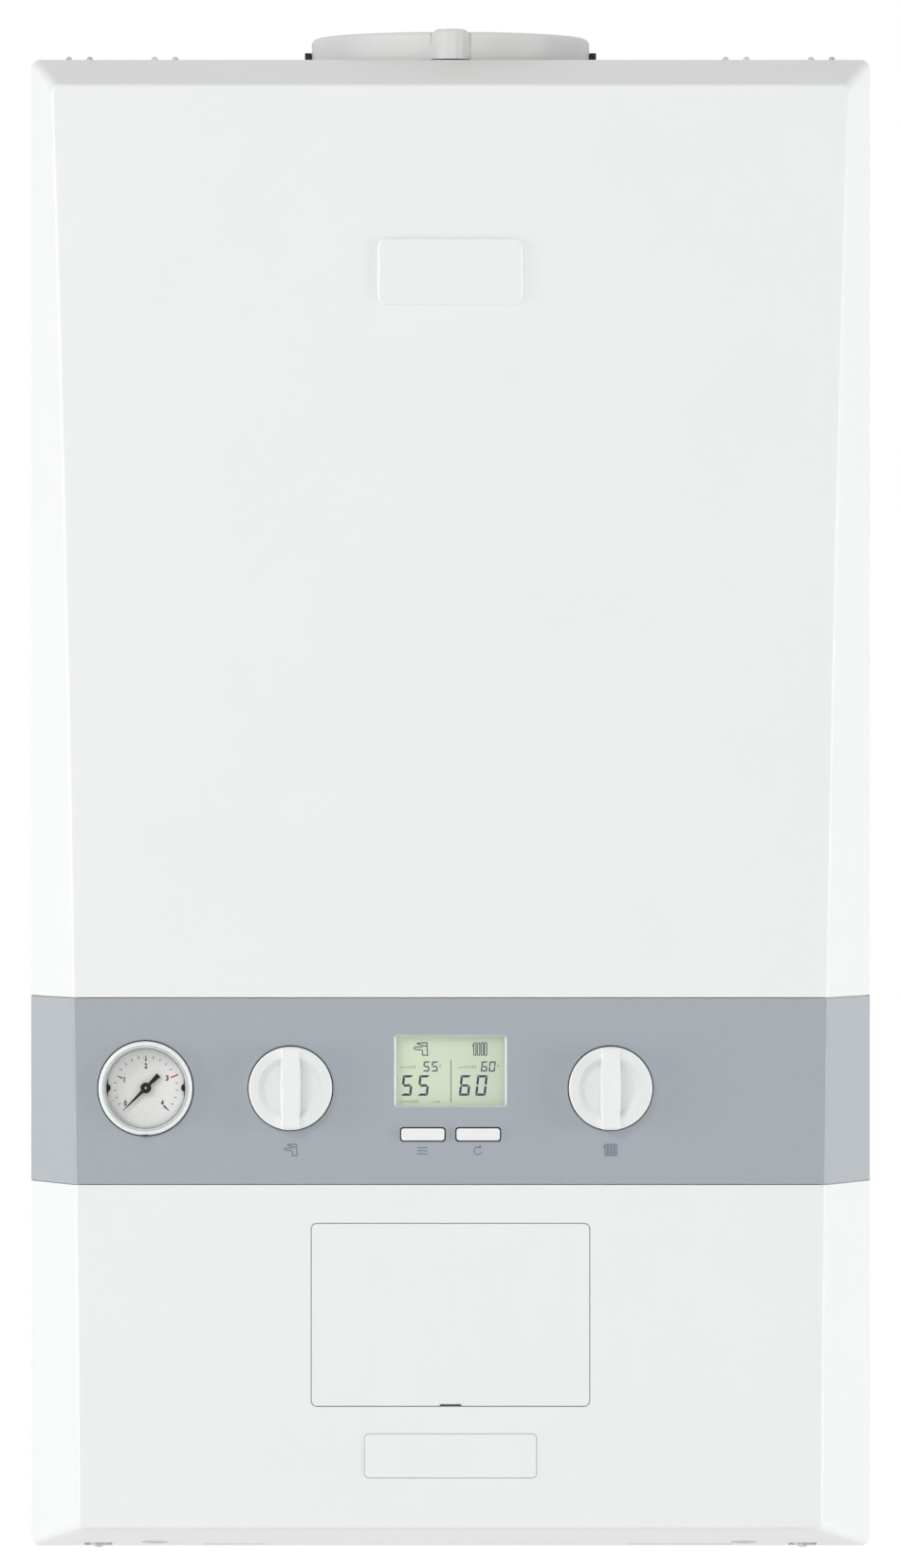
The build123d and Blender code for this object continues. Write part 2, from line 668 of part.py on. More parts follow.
side_panel = under_cover(make_side_panel())
save("wall_bracket", make_wall_bracket())
save("back_frame", make_back_frame())
save("right_side_panel", side_panel)
save("left_side_panel", mirrored(side_panel))
save("top_panel", under_cover(make_top_panel()))
save("base_plate", under_cover(make_base_plate()))
save("cover_seal", make_cover_seal())
save("cover_clips", group([make_cover_clip(x) for x in CLIP_X]))


# ------------------------------------------------------------------ control box
def make_control_box():
    """The rear shell of the control box: an open tray with posts for the main board."""
    box = block(-BOX_HALF, BOX_HALF, BOX_BACK, LID_BACK, BOX_BOTTOM, BOX_TOP)
    wall = BOX_WALL
    box -= block(
        wall - BOX_HALF, BOX_HALF - wall, BOX_BACK + wall, CASE_D, BOX_BOTTOM + wall, BOX_TOP - wall)
    for x in (-100.0, 20.0, 100.0):
        box -= block(x - 12, x + 12, BOX_BACK + 8, BOX_BACK + 18, BOX_BOTTOM - 1, BOX_BOTTOM + wall + 1)
    for x, h in board_corners(MAIN_BOARD, 6.0):
        box += rod(3.0, x, h, BOX_BACK + wall, BOX_BACK + MAIN_BOARD_STAND + wall)
    box -= rod(CAPILLARY_R + FIT, GAUGE_X, CONTROL_H, BOX_BACK - 1, BOX_BACK + wall + 1)
    hole = pivot(ARM_PIN_R + FIT, BOX_HALF - BOX_WALL - 1, BOX_HALF + 1)
    return box - hole - mirrored(hole)


def pivot(r, x0, x1):
    """A round bar across, on the line that the box swings about."""
    return extrude(Plane.YZ.offset(x0) * Pos(-ARM_PIN_D, CONTROL_H) * Circle(r), x1 - x0)


def board_corners(board, inset):
    """The four screw places of a board."""
    x0, x1, h0, h1 = board
    return [(x, h) for x in (x0 + inset, x1 - inset) for h in (h0 + inset, h1 - inset)]


def make_control_box_front():
    """The lid behind the band, with openings for the dials, the display and the buttons."""
    lid = block(-BOX_HALF, BOX_HALF, LID_BACK, BOX_FRONT, BOX_BOTTOM, BOX_TOP)
    through = (LID_BACK - 1, BOX_FRONT + 1)
    lid -= rod(GAUGE_CASE_R + FIT, GAUGE_X, CONTROL_H, *through)
    lid -= slab(RectangleRounded(LCD_W + 2, LCD_HEIGHT + 2, WINDOW_R), *through, 0, WINDOW_H)
    for x in (-KNOB_X, KNOB_X):
        lid -= rod(SPINDLE_R + FIT, x, CONTROL_H, *through)
    for x in (-BUTTON_X, BUTTON_X):
        lid -= rod(BUTTON_STEM_R + FIT, x, BUTTON_H, *through)
    for x, h in board_corners(FRONT_PCB, 6.0):
        lid += rod(3.0, x, h, FRONT_BOARD, LID_BACK)
    return lid


def make_arms():
    """Two steel arms, bent outwards to the side panels, with the pins the box pivots on."""
    inner = BOX_HALF + FIT
    low = CONTROL_H - ARM_H / 2
    high = CONTROL_H + ARM_H / 2
    back = BOX_BACK - 36
    arm = block(inner, inner + ARM_T, back, BOX_BACK + 36, low, high)
    arm += block(inner, SIDE_IN, back, back + ARM_T, low, high)
    arm += block(SIDE_IN - ARM_T, SIDE_IN, back, PANEL_FRONT - SHEET - FIT, low, high)
    arm += pivot(ARM_PIN_R, BOX_HALF - BOX_WALL, inner)
    return group([arm, mirrored(arm)])


def make_boards():
    """The main board and the board behind the dials."""
    x0, x1, h0, h1 = MAIN_BOARD
    main = block(x0, x1, MAIN_BOARD_BACK, MAIN_BOARD_BACK + BOARD_T, h0, h1)
    x0, x1, h0, h1 = FRONT_PCB
    front = block(x0, x1, FRONT_BOARD - BOARD_T, FRONT_BOARD, h0, h1)
    return group([main, front])


def make_board_components():
    """What stands on the boards: dial sensors, button switches, relays, coils, plugs."""
    pieces = []
    sensor_front = LID_BACK - FIT
    for x in (-KNOB_X, KNOB_X):
        sensor = block(x - 10, x + 10, FRONT_BOARD, FRONT_BOARD + 8, CONTROL_H - 10, CONTROL_H + 10)
        sensor += rod(5.0, x, CONTROL_H, FRONT_BOARD + 8, sensor_front)
        sensor -= rod(SPINDLE_R + RUNNING, x, CONTROL_H, SPINDLE_END - FIT, CASE_D)
        pieces.append(sensor)
    for x in (-BUTTON_X, BUTTON_X):
        switch = block(x - 3, x + 3, FRONT_BOARD, FRONT_BOARD + 5, BUTTON_H - 3, BUTTON_H + 3)
        switch += rod(1.7, x, BUTTON_H, FRONT_BOARD + 5, BUTTON_STEM_END - BUTTON_TRAVEL - FIT)
        pieces.append(switch)
    base = MAIN_BOARD_BACK + BOARD_T
    room = FRONT_BOARD - BOARD_T - 2
    for step in range(4):
        x = -90.0 + 24 * step
        pieces.append(block(x, x + 15, base, base + 15, BOX_TOP - 36, BOX_TOP - 16))
    for step in range(3):
        x = 30.0 + 22 * step
        pieces.append(rod(8.0, x, BOX_TOP - 28, base, room))
    pieces.append(block(100, 138, base, room, BOX_BOTTOM + 30, BOX_BOTTOM + 62))
    for step in range(6):
        x = -105.0 + 40 * step
        pieces.append(block(x, x + 28, base, base + 11, BOX_BOTTOM + 8, BOX_BOTTOM + 18))
    return group(pieces)


def make_display_module():
    """The display: a carrier on the front board and the glass that shows in the window."""
    x = LCD_W / 2
    h = LCD_HEIGHT / 2
    carrier = block(-x - 4, x + 4, FRONT_BOARD, LID_BACK - FIT, WINDOW_H - h - 2, WINDOW_H + h + 2)
    for bx in (-BUTTON_X, BUTTON_X):
        carrier -= rod(BUTTON_STEM_R + 3, bx, BUTTON_H, FRONT_BOARD - 1, CASE_D)
    glass = block(-x, x, LID_BACK - FIT, BOX_FRONT - FIT, WINDOW_H - h, WINDOW_H + h)
    return carrier + glass


def make_knob(x):
    """A round knob: a rim, a dished floor, a grip right across, and its spindle."""
    rim_front = CASE_D + KNOB_PROUD
    grip_front = CASE_D + GRIP_PROUD
    floor = rim_front - DISH_DEPTH
    back = BOX_FRONT + FIT
    full = rod(KNOB_R, x, CONTROL_H, back, grip_front + 1)
    knob = rod(KNOB_R, x, CONTROL_H, back, rim_front)
    edge = [e for e in knob.edges() if abs(e.center().Y + rim_front) < 0.01]
    knob = knob.fillet(0.8, edge)
    dish = Cone(DISH_R - DISH_SLOPE, DISH_R, DISH_DEPTH)
    foot = [e for e in dish.edges() if e.geom_type == GeomType.CIRCLE and e.radius < DISH_R - 1]
    dish = dish.fillet(DISH_FOOT_R, foot)
    knob -= Pos(x, -(floor + rim_front) / 2, CONTROL_H) * Rot(90, 0, 0) * dish
    side = make_face(Polyline(
        (x - GRIP_W / 2, -floor),
        (x + GRIP_W / 2, -floor),
        (x + GRIP_TOP_W / 2, -grip_front),
        (x - GRIP_TOP_W / 2, -grip_front),
        close=True,
    ))
    grip = extrude(Plane.XY.offset(CONTROL_H - KNOB_R) * side, 2 * KNOB_R)
    ends = [e for e in grip.edges() if abs(e.center().Y + grip_front) < 0.01 and e.length < GRIP_W]
    grip = grip.fillet(GRIP_END_R, ends)
    knob += grip & full
    knob -= rod(KNOB_R - KNOB_WALL, x, CONTROL_H, back - 1, floor - KNOB_WALL)
    knob += rod(SPINDLE_R + 3, x, CONTROL_H, back, floor - KNOB_WALL)
    return knob + rod(SPINDLE_R, x, CONTROL_H, SPINDLE_END, back)


def make_button(x):
    """A push button and the stem that reaches its switch."""
    back = BOX_FRONT + BUTTON_TRAVEL + FIT
    front = CASE_D + BUTTON_PROUD
    cap = slab(RectangleRounded(BUTTON_W, BUTTON_HEIGHT, BUTTON_R), back, front, x, BUTTON_H)
    rim = [e for e in cap.edges() if abs(e.center().Y + front) < 0.01]
    return cap.fillet(0.5, rim) + rod(BUTTON_STEM_R, x, BUTTON_H, BUTTON_STEM_END, back)


# Places inside the control box that several pieces share.
ARM_PIN_R = 3.0
ARM_PIN_D = BOX_BACK + 14
GAUGE_CASE_R = DIAL_R + 1.55
SPINDLE_END = LID_BACK - SPINDLE_LENGTH + BOX_WALL
BUTTON_STEM_END = FRONT_BOARD + 12.5
MAIN_BOARD_BACK = BOX_BACK + BOX_WALL + MAIN_BOARD_STAND
MAIN_BOARD = (-115.0, 150.0, BOX_BOTTOM + 6, BOX_TOP - 6)
FRONT_PCB = (-110.0, 110.0, BOX_BOTTOM + 8, BOX_TOP - 8)
LCD_W = WINDOW_W + 1.4
LCD_HEIGHT = WINDOW_HEIGHT + 1.4

save("control_box", make_control_box())
save("control_box_front", make_control_box_front())
save("control_box_arms", make_arms())
save("control_boards", make_boards())
save("board_components", make_board_components())
save("display_module", make_display_module())
save("hot_water_knob", make_knob(-KNOB_X))
save("heating_knob", make_knob(KNOB_X))
save("mode_button", make_button(-BUTTON_X))
save("restart_button", make_button(BUTTON_X))


# ------------------------------------------------------------------ pressure gauge
GAUGE_FRONT = BOX_FRONT + GAUGE_FLANGE        # front of the gauge case
DIAL_FRONT = BOX_FRONT - 4.0
LENS_FRONT = GAUGE_FRONT + BEZEL_T - LENS_RECESS


def make_gauge_case():
    """The black cup of the gauge, its flange on the box and two clips over the dial."""
    x = GAUGE_X
    h = CONTROL_H
    back = BOX_FRONT - GAUGE_DEPTH
    case = rod(GAUGE_CASE_R, x, h, back, BOX_FRONT)
    case += rod(GAUGE_BEZEL_R, x, h, BOX_FRONT, GAUGE_FRONT)
    case -= rod(DIAL_R, x, h, DIAL_FRONT - DIAL_T, CASE_D)
    case -= rod(DIAL_R - 2, x, h, back + 2, CASE_D)
    case -= rod(CAPILLARY_R, x, h, back - 1, back + 3)
    for side in (-1, 1):
        clip = rod(2.0, x + side * DIAL_R, h, DIAL_FRONT, DIAL_FRONT + 1)
        edge = x + side * DIAL_R
        inner = edge - DIAL_CLIP_W / 2
        clip += block(inner, inner + DIAL_CLIP_W, DIAL_FRONT, DIAL_FRONT + 1, h - 4.5, h + 4.5)
        case += clip & rod(GAUGE_CASE_R - 0.2, x, h, DIAL_FRONT, DIAL_FRONT + 1)
    return case


def make_gauge_bezel():
    """The pale ring round the lens, its front edge rounded."""
    ring = rod(GAUGE_BEZEL_R, GAUGE_X, CONTROL_H, GAUGE_FRONT, GAUGE_FRONT + BEZEL_T)
    rim = [e for e in ring.edges() if abs(e.center().Y + GAUGE_FRONT + BEZEL_T) < 0.01]
    ring = ring.fillet(1.6, rim)
    ring -= rod(DIAL_R, GAUGE_X, CONTROL_H, GAUGE_FRONT - 1, CASE_D * 2)
    ring -= Pos(GAUGE_X, -(GAUGE_FRONT + BEZEL_T), CONTROL_H) * Rot(90, 0, 0) * Cone(
        DIAL_R - 1, DIAL_R + 2, 3)
    return ring


def make_gauge_dial():
    """The dial plate with the hole for the pointer's shaft."""
    dial = rod(DIAL_R - RUNNING, GAUGE_X, CONTROL_H, DIAL_FRONT - DIAL_T, DIAL_FRONT)
    return dial - rod(POINTER_SHAFT_R + RUNNING, GAUGE_X, CONTROL_H, 0, CASE_D)


def make_gauge_pointer():
    """The pointer: a fine tip, a broad tail, a hub and a shaft, lying at zero."""
    blade = make_face(Polyline(
        (POINTER_LENGTH, POINTER_TIP_W / 2),
        (0, POINTER_W / 2),
        (0, POINTER_NECK_W / 2),
        (-POINTER_TAIL, POINTER_TAIL_W / 2),
        (-POINTER_TAIL, -POINTER_TAIL_W / 2),
        (0, -POINTER_NECK_W / 2),
        (0, -POINTER_W / 2),
        (POINTER_LENGTH, -POINTER_TIP_W / 2),
        close=True,
    ))
    back = DIAL_FRONT + 1.6
    pointer = slab(Rot(0, 0, POINTER_REST) * blade, back, back + POINTER_T, GAUGE_X, CONTROL_H)
    pointer += rod(POINTER_HUB_R, GAUGE_X, CONTROL_H, back - 0.3, back + POINTER_T + 0.8)
    return pointer + rod(POINTER_SHAFT_R, GAUGE_X, CONTROL_H, DIAL_FRONT - 6, back)


def make_gauge_capillary():
    """The thin tube from the gauge's back to the pressure port on the flow block."""
    down = BOX_BACK - 22
    return pipe(
        CAPILLARY_R, 0.4, 20,
        (GAUGE_X, BOX_FRONT - GAUGE_DEPTH, CONTROL_H),
        (GAUGE_X, down, CONTROL_H),
        (GAUGE_X, down, ARM_TOP - 6),
        (GAUGE_X, BLOCK_FRONT, ARM_TOP - 6),
    )


BLOCK_BACK = TAIL_D - 20
BLOCK_FRONT = TAIL_D + 55

save("gauge_case", make_gauge_case())
save("gauge_bezel", make_gauge_bezel())
save("gauge_dial", make_gauge_dial())
save("gauge_pointer", make_gauge_pointer())
save("gauge_lens", rod(DIAL_R - RUNNING, GAUGE_X, CONTROL_H, LENS_FRONT - LENS_T, LENS_FRONT))
save("gauge_capillary", make_gauge_capillary())


# ------------------------------------------------------------------ flue
def make_flue_gasket():
    """The rubber gasket: a flat ring under the collar, upstands at its sides and a tongue."""
    hole = AIR_SOCKET_R + COLLAR_WALL + FIT
    top = CASE_H + GASKET_TOP
    upstand = tube(GASKET_R, COLLAR_R + FIT, 0, FLUE_D, TOP_OUT, top)
    front = FLUE_D + GASKET_EAR_FRONT
    upstand &= block(-GASKET_R, GASKET_R, front - GASKET_EAR, front, TOP_OUT, top)
    tongue = extrude(Plane.XY.offset(TOP_OUT) * boss_outline(-FIT), BOSS_BOTTOM - TOP_OUT)
    tongue -= post(COLLAR_R + FIT, 0, FLUE_D, COLLAR_BOTTOM, BOSS_BOTTOM + 1)
    return tube(GASKET_R, hole, 0, FLUE_D, TOP_OUT, COLLAR_BOTTOM) + upstand + tongue


def boss_outline(grow=0.0):
    """The sampling boss from above: flat at the back, five facets round the front."""
    half = BOSS_W / 2 + grow
    mid = BOSS_W / 8
    front = -(FLUE_D + BOSS_FRONT)
    return make_face(Polyline(
        (-half, -(FLUE_D + BOSS_BACK - grow)),
        (-half, front + 5.6),
        (mid * 1.5 - half, front + 1.8),
        (-mid, front),
        (mid, front),
        (half - mid * 1.5, front + 1.8),
        (half, front + 5.6),
        (half, -(FLUE_D + BOSS_BACK - grow)),
        close=True,
    ))


def make_flue_collar():
    """The moulded collar: an air socket, a ring that centres the flue duct, and the boss."""
    collar = post(COLLAR_R, 0, FLUE_D, COLLAR_BOTTOM, COLLAR_TOP_H)
    rim = [e for e in collar.edges() if abs(e.center().Z - COLLAR_TOP_H) < 0.01]
    collar = collar.fillet(COLLAR_EDGE_R, rim)
    socket_bottom = COLLAR_TOP_H - AIR_SOCKET_DEPTH
    web_t = 7.0
    collar += post(AIR_SOCKET_R + COLLAR_WALL, 0, FLUE_D, socket_bottom - web_t, COLLAR_BOTTOM)
    collar -= extrude(Plane.XY.offset(CAP_BOTTOM) * boss_outline(CAP_GAP), COLLAR_TOP)
    collar += extrude(Plane.XY.offset(BOSS_BOTTOM) * boss_outline(), CAP_BOTTOM - BOSS_BOTTOM)
    collar -= post(AIR_SOCKET_R, 0, FLUE_D, socket_bottom, CASE_H * 2)
    collar -= post(AIR_SOCKET_R - SOCKET_LEDGE, 0, FLUE_D, 0, socket_bottom + 1)
    collar -= post(SAMPLE_R + RUNNING, 0, SAMPLE_D, CAP_BOTTOM - 7, CAP_BOTTOM + 1)
    for turn in (90, 210, 330):
        web = block(GAS_OUT + FIT, AIR_SOCKET_R, -1.5, 1.5, socket_bottom - web_t, socket_bottom)
        collar += Pos(0, -FLUE_D, 0) * Rot(0, 0, turn) * web
    collar += tube(GAS_OUT + FIT + 2.5, GAS_OUT + FIT, 0, FLUE_D, socket_bottom - web_t, socket_bottom)
    return collar


def make_sampling_cap():
    """The push-in cap on the boss, with rounded shoulders and a plug below."""
    top = CASE_H + CAP_TOP
    head = extrude(Plane.XY.offset(CAP_BOTTOM) * boss_outline(), CAP_H)
    rim = [e for e in head.edges() if abs(e.center().Z - top) < 0.01]
    head = head.fillet(4.0, rim)
    return head + post(SAMPLE_R, 0, SAMPLE_D, CAP_BOTTOM - 6, CAP_BOTTOM)


GAS_OUT = GAS_SOCKET_R + FLUE_WALL
CAP_BOTTOM = CASE_H + CAP_TOP - CAP_H
BOSS_BOTTOM = CASE_H + 1.1
SAMPLE_D = FLUE_D + (BOSS_BACK + BOSS_FRONT) / 2 - 1
SPIGOT_LEDGE = EXCHANGER_H + 120
SPIGOT_TOP = SPIGOT_LEDGE + 30
DUCT_TOP = COLLAR_TOP_H - AIR_SOCKET_DEPTH - 1

save("flue_gasket", make_flue_gasket())
save("flue_collar", make_flue_collar())
save("sampling_cap", make_sampling_cap())
save("flue_duct", tube(GAS_OUT, GAS_SOCKET_R, 0, FLUE_D, SPIGOT_LEDGE, DUCT_TOP))


# ------------------------------------------------------------------ heat exchanger and burner
def shell_bottom(x):
    """Height of the exchanger's round shell, on its under side, at a place across."""
    return EXCHANGER_H - math.sqrt(EXCHANGER_R ** 2 - (x - EXCHANGER_X) ** 2)


STUB_TOP = SHELF_H + 6
FLOW_X = EXCHANGER_X - 60
RETURN_X = EXCHANGER_X + 50


def make_heat_exchanger():
    """The exchanger's shell with its feet, water stubs, condensate outlet and flue spigot."""
    x = EXCHANGER_X
    shell = rod(EXCHANGER_R, x, EXCHANGER_H, EXCHANGER_BACK, DOOR_BACK)
    shelf_top = SHELF_H + SHELF_T
    for foot in (x - 35, x + 22):
        seat = shell_bottom(foot) + 4
        shell += block(foot - 7, foot + 7, PIPE_D - 30, PIPE_D + 30, shelf_top, seat)
    for stub, r in ((FLOW_X, 13), (RETURN_X, 13), (x, 12)):
        shell += post(r, stub, PIPE_D, STUB_TOP, shell_bottom(stub) + 12)
    shell += post(GAS_OUT + FIT + 2.5, 0, FLUE_D, EXCHANGER_H + 60, SPIGOT_TOP)
    inner = EXCHANGER_R - EXCHANGER_WALL
    shell -= rod(inner, x, EXCHANGER_H, EXCHANGER_BACK + EXCHANGER_WALL, DOOR_BACK + 1)
    for rib in range(5):
        d = EXCHANGER_BACK + 16 + 15 * rib
        shell += slab(Circle(inner) - Circle(inner - 26), d, d + 8, x, EXCHANGER_H)
    shell -= post(GAS_OUT + FIT, 0, FLUE_D, SPIGOT_LEDGE, SPIGOT_TOP + 1)
    shell -= post(GAS_SOCKET_R - 5, 0, FLUE_D, EXCHANGER_H + 40, SPIGOT_TOP + 1)
    for stub in (FLOW_X, RETURN_X):
        shell -= post(FLOW_R + FIT, stub, PIPE_D, STUB_TOP - 1, STUB_TOP + 16)
    return shell - post(DRAIN_HOSE_R + FIT, x, PIPE_D, STUB_TOP - 1, STUB_TOP + 8)


def make_exchanger_shelf():
    """The shelf between the side panels that the exchanger stands on."""
    shelf = block(-SIDE_IN, SIDE_IN, EXCHANGER_BACK - 6, SHELF_FRONT, SHELF_H, SHELF_H + SHELF_T)
    flange = block(SIDE_IN - SHELF_T, SIDE_IN, EXCHANGER_BACK - 6, SHELF_FRONT, SHELF_H - 24, SHELF_H)
    shelf += flange
    shelf += mirrored(flange)
    shelf += block(-SIDE_IN, FAN_X - 40, SHELF_FRONT - SHELF_T, SHELF_FRONT, SHELF_H - 16, SHELF_H)
    for x in (FLOW_X, RETURN_X, EXCHANGER_X):
        shelf -= post(17.0, x, PIPE_D, SHELF_H - 1, SHELF_H + SHELF_T + 1)
    return shelf - block(FAN_X - 24, FAN_X + 24, GAS_D - 24, SHELF_FRONT + 1, SHELF_H - 1, SHELF_H + 9)


def make_burner_door():
    """The door of the burner: a disc, an elbow and a duct that meets the fan."""
    x = EXCHANGER_X
    door = rod(EXCHANGER_R, x, EXCHANGER_H, DOOR_BACK, DOOR_FRONT)
    door += rod(BURNER_R + 3, x, EXCHANGER_H, DOOR_FRONT, DUCT_FRONT)
    low = EXCHANGER_H - DUCT_HALF
    high = EXCHANGER_H + DUCT_HALF
    door += block(x, FAN_LEFT, DUCT_BACK, DUCT_FRONT, low, high)
    w = DUCT_WALL
    door -= block(x, FAN_LEFT + 1, DUCT_BACK + w, DUCT_FRONT - w, low + w, high - w)
    door -= rod(BURNER_R - 6, x, EXCHANGER_H, DOOR_BACK - 1, DUCT_FRONT - w)
    for turn in range(6):
        angle = math.radians(30 + 60 * turn)
        hx = x + DOOR_NUT_R * math.cos(angle)
        hh = EXCHANGER_H + DOOR_NUT_R * math.sin(angle)
        door -= rod(STUD_R + FIT, hx, hh, DOOR_BACK - 1, DOOR_FRONT + 1)
    return door


def make_burner():
    """The burner: a closed tube with rows of slots, hung on the back of the door."""
    x = EXCHANGER_X
    tip = DOOR_BACK - BURNER_LENGTH
    burner = rod(BURNER_R, x, EXCHANGER_H, tip, DOOR_BACK)
    burner += rod(BURNER_R + 6, x, EXCHANGER_H, DOOR_BACK - 2, DOOR_BACK)
    burner -= rod(BURNER_R - 1.5, x, EXCHANGER_H, tip + 1.5, DOOR_BACK + 1)
    for row in range(4):
        d = tip + 12 + 14 * row
        for turn in range(8):
            slot = Rot(0, 22.5 * 2 * turn, 0) * Box(2, 6, 2 * BURNER_R + 4)
            burner -= Pos(x, -d, EXCHANGER_H) * slot
    return burner


def make_door_nuts():
    """Six nuts on their studs."""
    pieces = []
    for turn in range(6):
        angle = math.radians(30 + 60 * turn)
        x = EXCHANGER_X + DOOR_NUT_R * math.cos(angle)
        h = EXCHANGER_H + DOOR_NUT_R * math.sin(angle)
        hexagon = RegularPolygon(NUT_AF / 2, 6, major_radius=False)
        nut = slab(hexagon, DOOR_FRONT, DOOR_FRONT + NUT_T, x, h)
        pieces.append(nut + rod(STUD_R, x, h, DOOR_BACK, DOOR_FRONT + NUT_T + 3))
    return group(pieces)


def make_fan_housing():
    """The fan's scroll, its outlet against the door's duct."""
    high = EXCHANGER_H + DUCT_HALF
    low = EXCHANGER_H - DUCT_HALF
    front = FAN_BACK + FAN_D
    w = FAN_WALL
    fan = rod(FAN_R, FAN_X, FAN_H, FAN_BACK, front)
    fan += block(FAN_LEFT, FAN_X, FAN_BACK, front, low, high)
    fan -= rod(FAN_R - w, FAN_X, FAN_H, FAN_BACK + w, front - w)
    fan -= block(FAN_LEFT - 1, FAN_X, FAN_BACK + w, front - w, low + w, high - w)
    fan -= rod(MIXER_BORE + 2, FAN_X, FAN_H, FAN_BACK - 1, FAN_BACK + w + 1)
    return fan - rod(FAN_SHAFT_R + 3, FAN_X, FAN_H, front - w - 1, front + 1)


def make_fan_impeller():
    """The impeller: a back disc, radial blades, a hub and its shaft."""
    back = FAN_BACK + FAN_WALL + 2
    front = FAN_BACK + FAN_D - FAN_WALL - 3
    wheel = rod(IMPELLER_R, FAN_X, FAN_H, front - 1.5, front)
    for turn in range(IMPELLER_BLADES):
        blade = block(MIXER_BORE + 3, IMPELLER_R, 0, front - back, -0.8, 0.8)
        wheel += Pos(FAN_X, -back, FAN_H) * Rot(0, 360 / IMPELLER_BLADES * turn, 0) * blade
    wheel += rod(7.0, FAN_X, FAN_H, front - 14, front)
    return wheel + rod(FAN_SHAFT_R, FAN_X, FAN_H, front, FAN_BACK + FAN_D + 14)


def make_fan_motor():
    """The fan's motor on the front of the scroll."""
    back = FAN_BACK + FAN_D
    motor = rod(MOTOR_R, FAN_X, FAN_H, back, back + MOTOR_D)
    rim = [e for e in motor.edges() if abs(e.center().Y + back + MOTOR_D) < 0.01]
    motor = motor.fillet(4, rim)
    motor += block(FAN_X - 12, FAN_X + 12, back, back + 18, FAN_H - MOTOR_R - 10, FAN_H - MOTOR_R + 6)
    return motor - rod(FAN_SHAFT_R + RUNNING, FAN_X, FAN_H, back - 1, back + 15)


def make_mixer():
    """The gas and air mixer behind the fan: a venturi with the gas inlet below."""
    back = FAN_BACK - MIXER_D
    mixer = rod(MIXER_R - 4, FAN_X, FAN_H, back, FAN_BACK)
    mixer += rod(MIXER_R, FAN_X, FAN_H, FAN_BACK - 6, FAN_BACK)
    mixer += rod(MIXER_R, FAN_X, FAN_H, back, back + 5)
    mixer += post(10.0, FAN_X, GAS_D, MIXER_BOTTOM, FAN_H - 20)
    mixer -= rod(MIXER_BORE, FAN_X, FAN_H, back - 1, FAN_BACK + 1)
    return mixer - post(GAS_R + FIT, FAN_X, GAS_D, MIXER_BOTTOM - 1, MIXER_BOTTOM + 5)


def make_gas_valve():
    """The gas valve: a cast block with two coils and a boss for each pipe."""
    x0 = FAN_X - VALVE_W / 2
    x1 = FAN_X + VALVE_W / 2
    back = GAS_D - VALVE_D / 2
    front = GAS_D + VALVE_D / 2
    valve = block(x0, x1, back, front, VALVE_BOTTOM, VALVE_TOP)
    valve = valve.fillet(4, valve.edges())
    for side in (-14, 14):
        valve += rod(COIL_R, FAN_X + side, (VALVE_BOTTOM + VALVE_TOP) / 2, front - 4, front + 20)
    valve += post(11.0, FAN_X, GAS_D, VALVE_TOP - 4, VALVE_TOP + 6)
    valve += post(15.0, FAN_X, GAS_D, VALVE_BOTTOM - 8, VALVE_BOTTOM + 4)
    valve -= post(GAS_R + FIT, FAN_X, GAS_D, VALVE_TOP, VALVE_TOP + 7)
    return valve - post(HEATING_R + FIT, FAN_X, GAS_D, VALVE_BOTTOM - 9, VALVE_BOTTOM)


def make_gas_pipes():
    """The gas pipe from its tail to the valve, and the one from the valve to the mixer."""
    lower = pipe(
        HEATING_R, PIPE_WALL, 36,
        (0, TAIL_D, TAIL_END),
        (0, TAIL_D, GAS_RUN_H),
        (FAN_X, GAS_D, GAS_RUN_H),
        (FAN_X, GAS_D, VALVE_BOTTOM),
    )
    lower += tube(HEATING_R + 2, HEATING_R - PIPE_WALL, 0, TAIL_D, BLOCK_BOTTOM, BLOCK_BOTTOM + 2)
    upper = tube(GAS_R, GAS_R - PIPE_WALL, FAN_X, GAS_D, VALVE_TOP, MIXER_BOTTOM + 5)
    return group([lower, upper])


GAS_D = FAN_BACK - 22.0
GAS_R = 7.0
GAS_RUN_H = VALVE_BOTTOM - 55
MIXER_BOTTOM = FAN_H - MIXER_R - 8

save("heat_exchanger", make_heat_exchanger())
save("exchanger_shelf", make_exchanger_shelf())
save("burner_door", make_burner_door())
save("burner", make_burner())
save("door_nuts", make_door_nuts())
save("fan_housing", make_fan_housing())
save("fan_impeller", make_fan_impeller())
save("fan_motor", make_fan_motor())
save("gas_air_mixer", make_mixer())
save("gas_valve", make_gas_valve())
save("gas_pipes", make_gas_pipes())


# ------------------------------------------------------------------ water side
PUMP_TOP = PUMP_H + PUMP_R + 12
BLOCK_TOP = PUMP_H - PUMP_R - 3


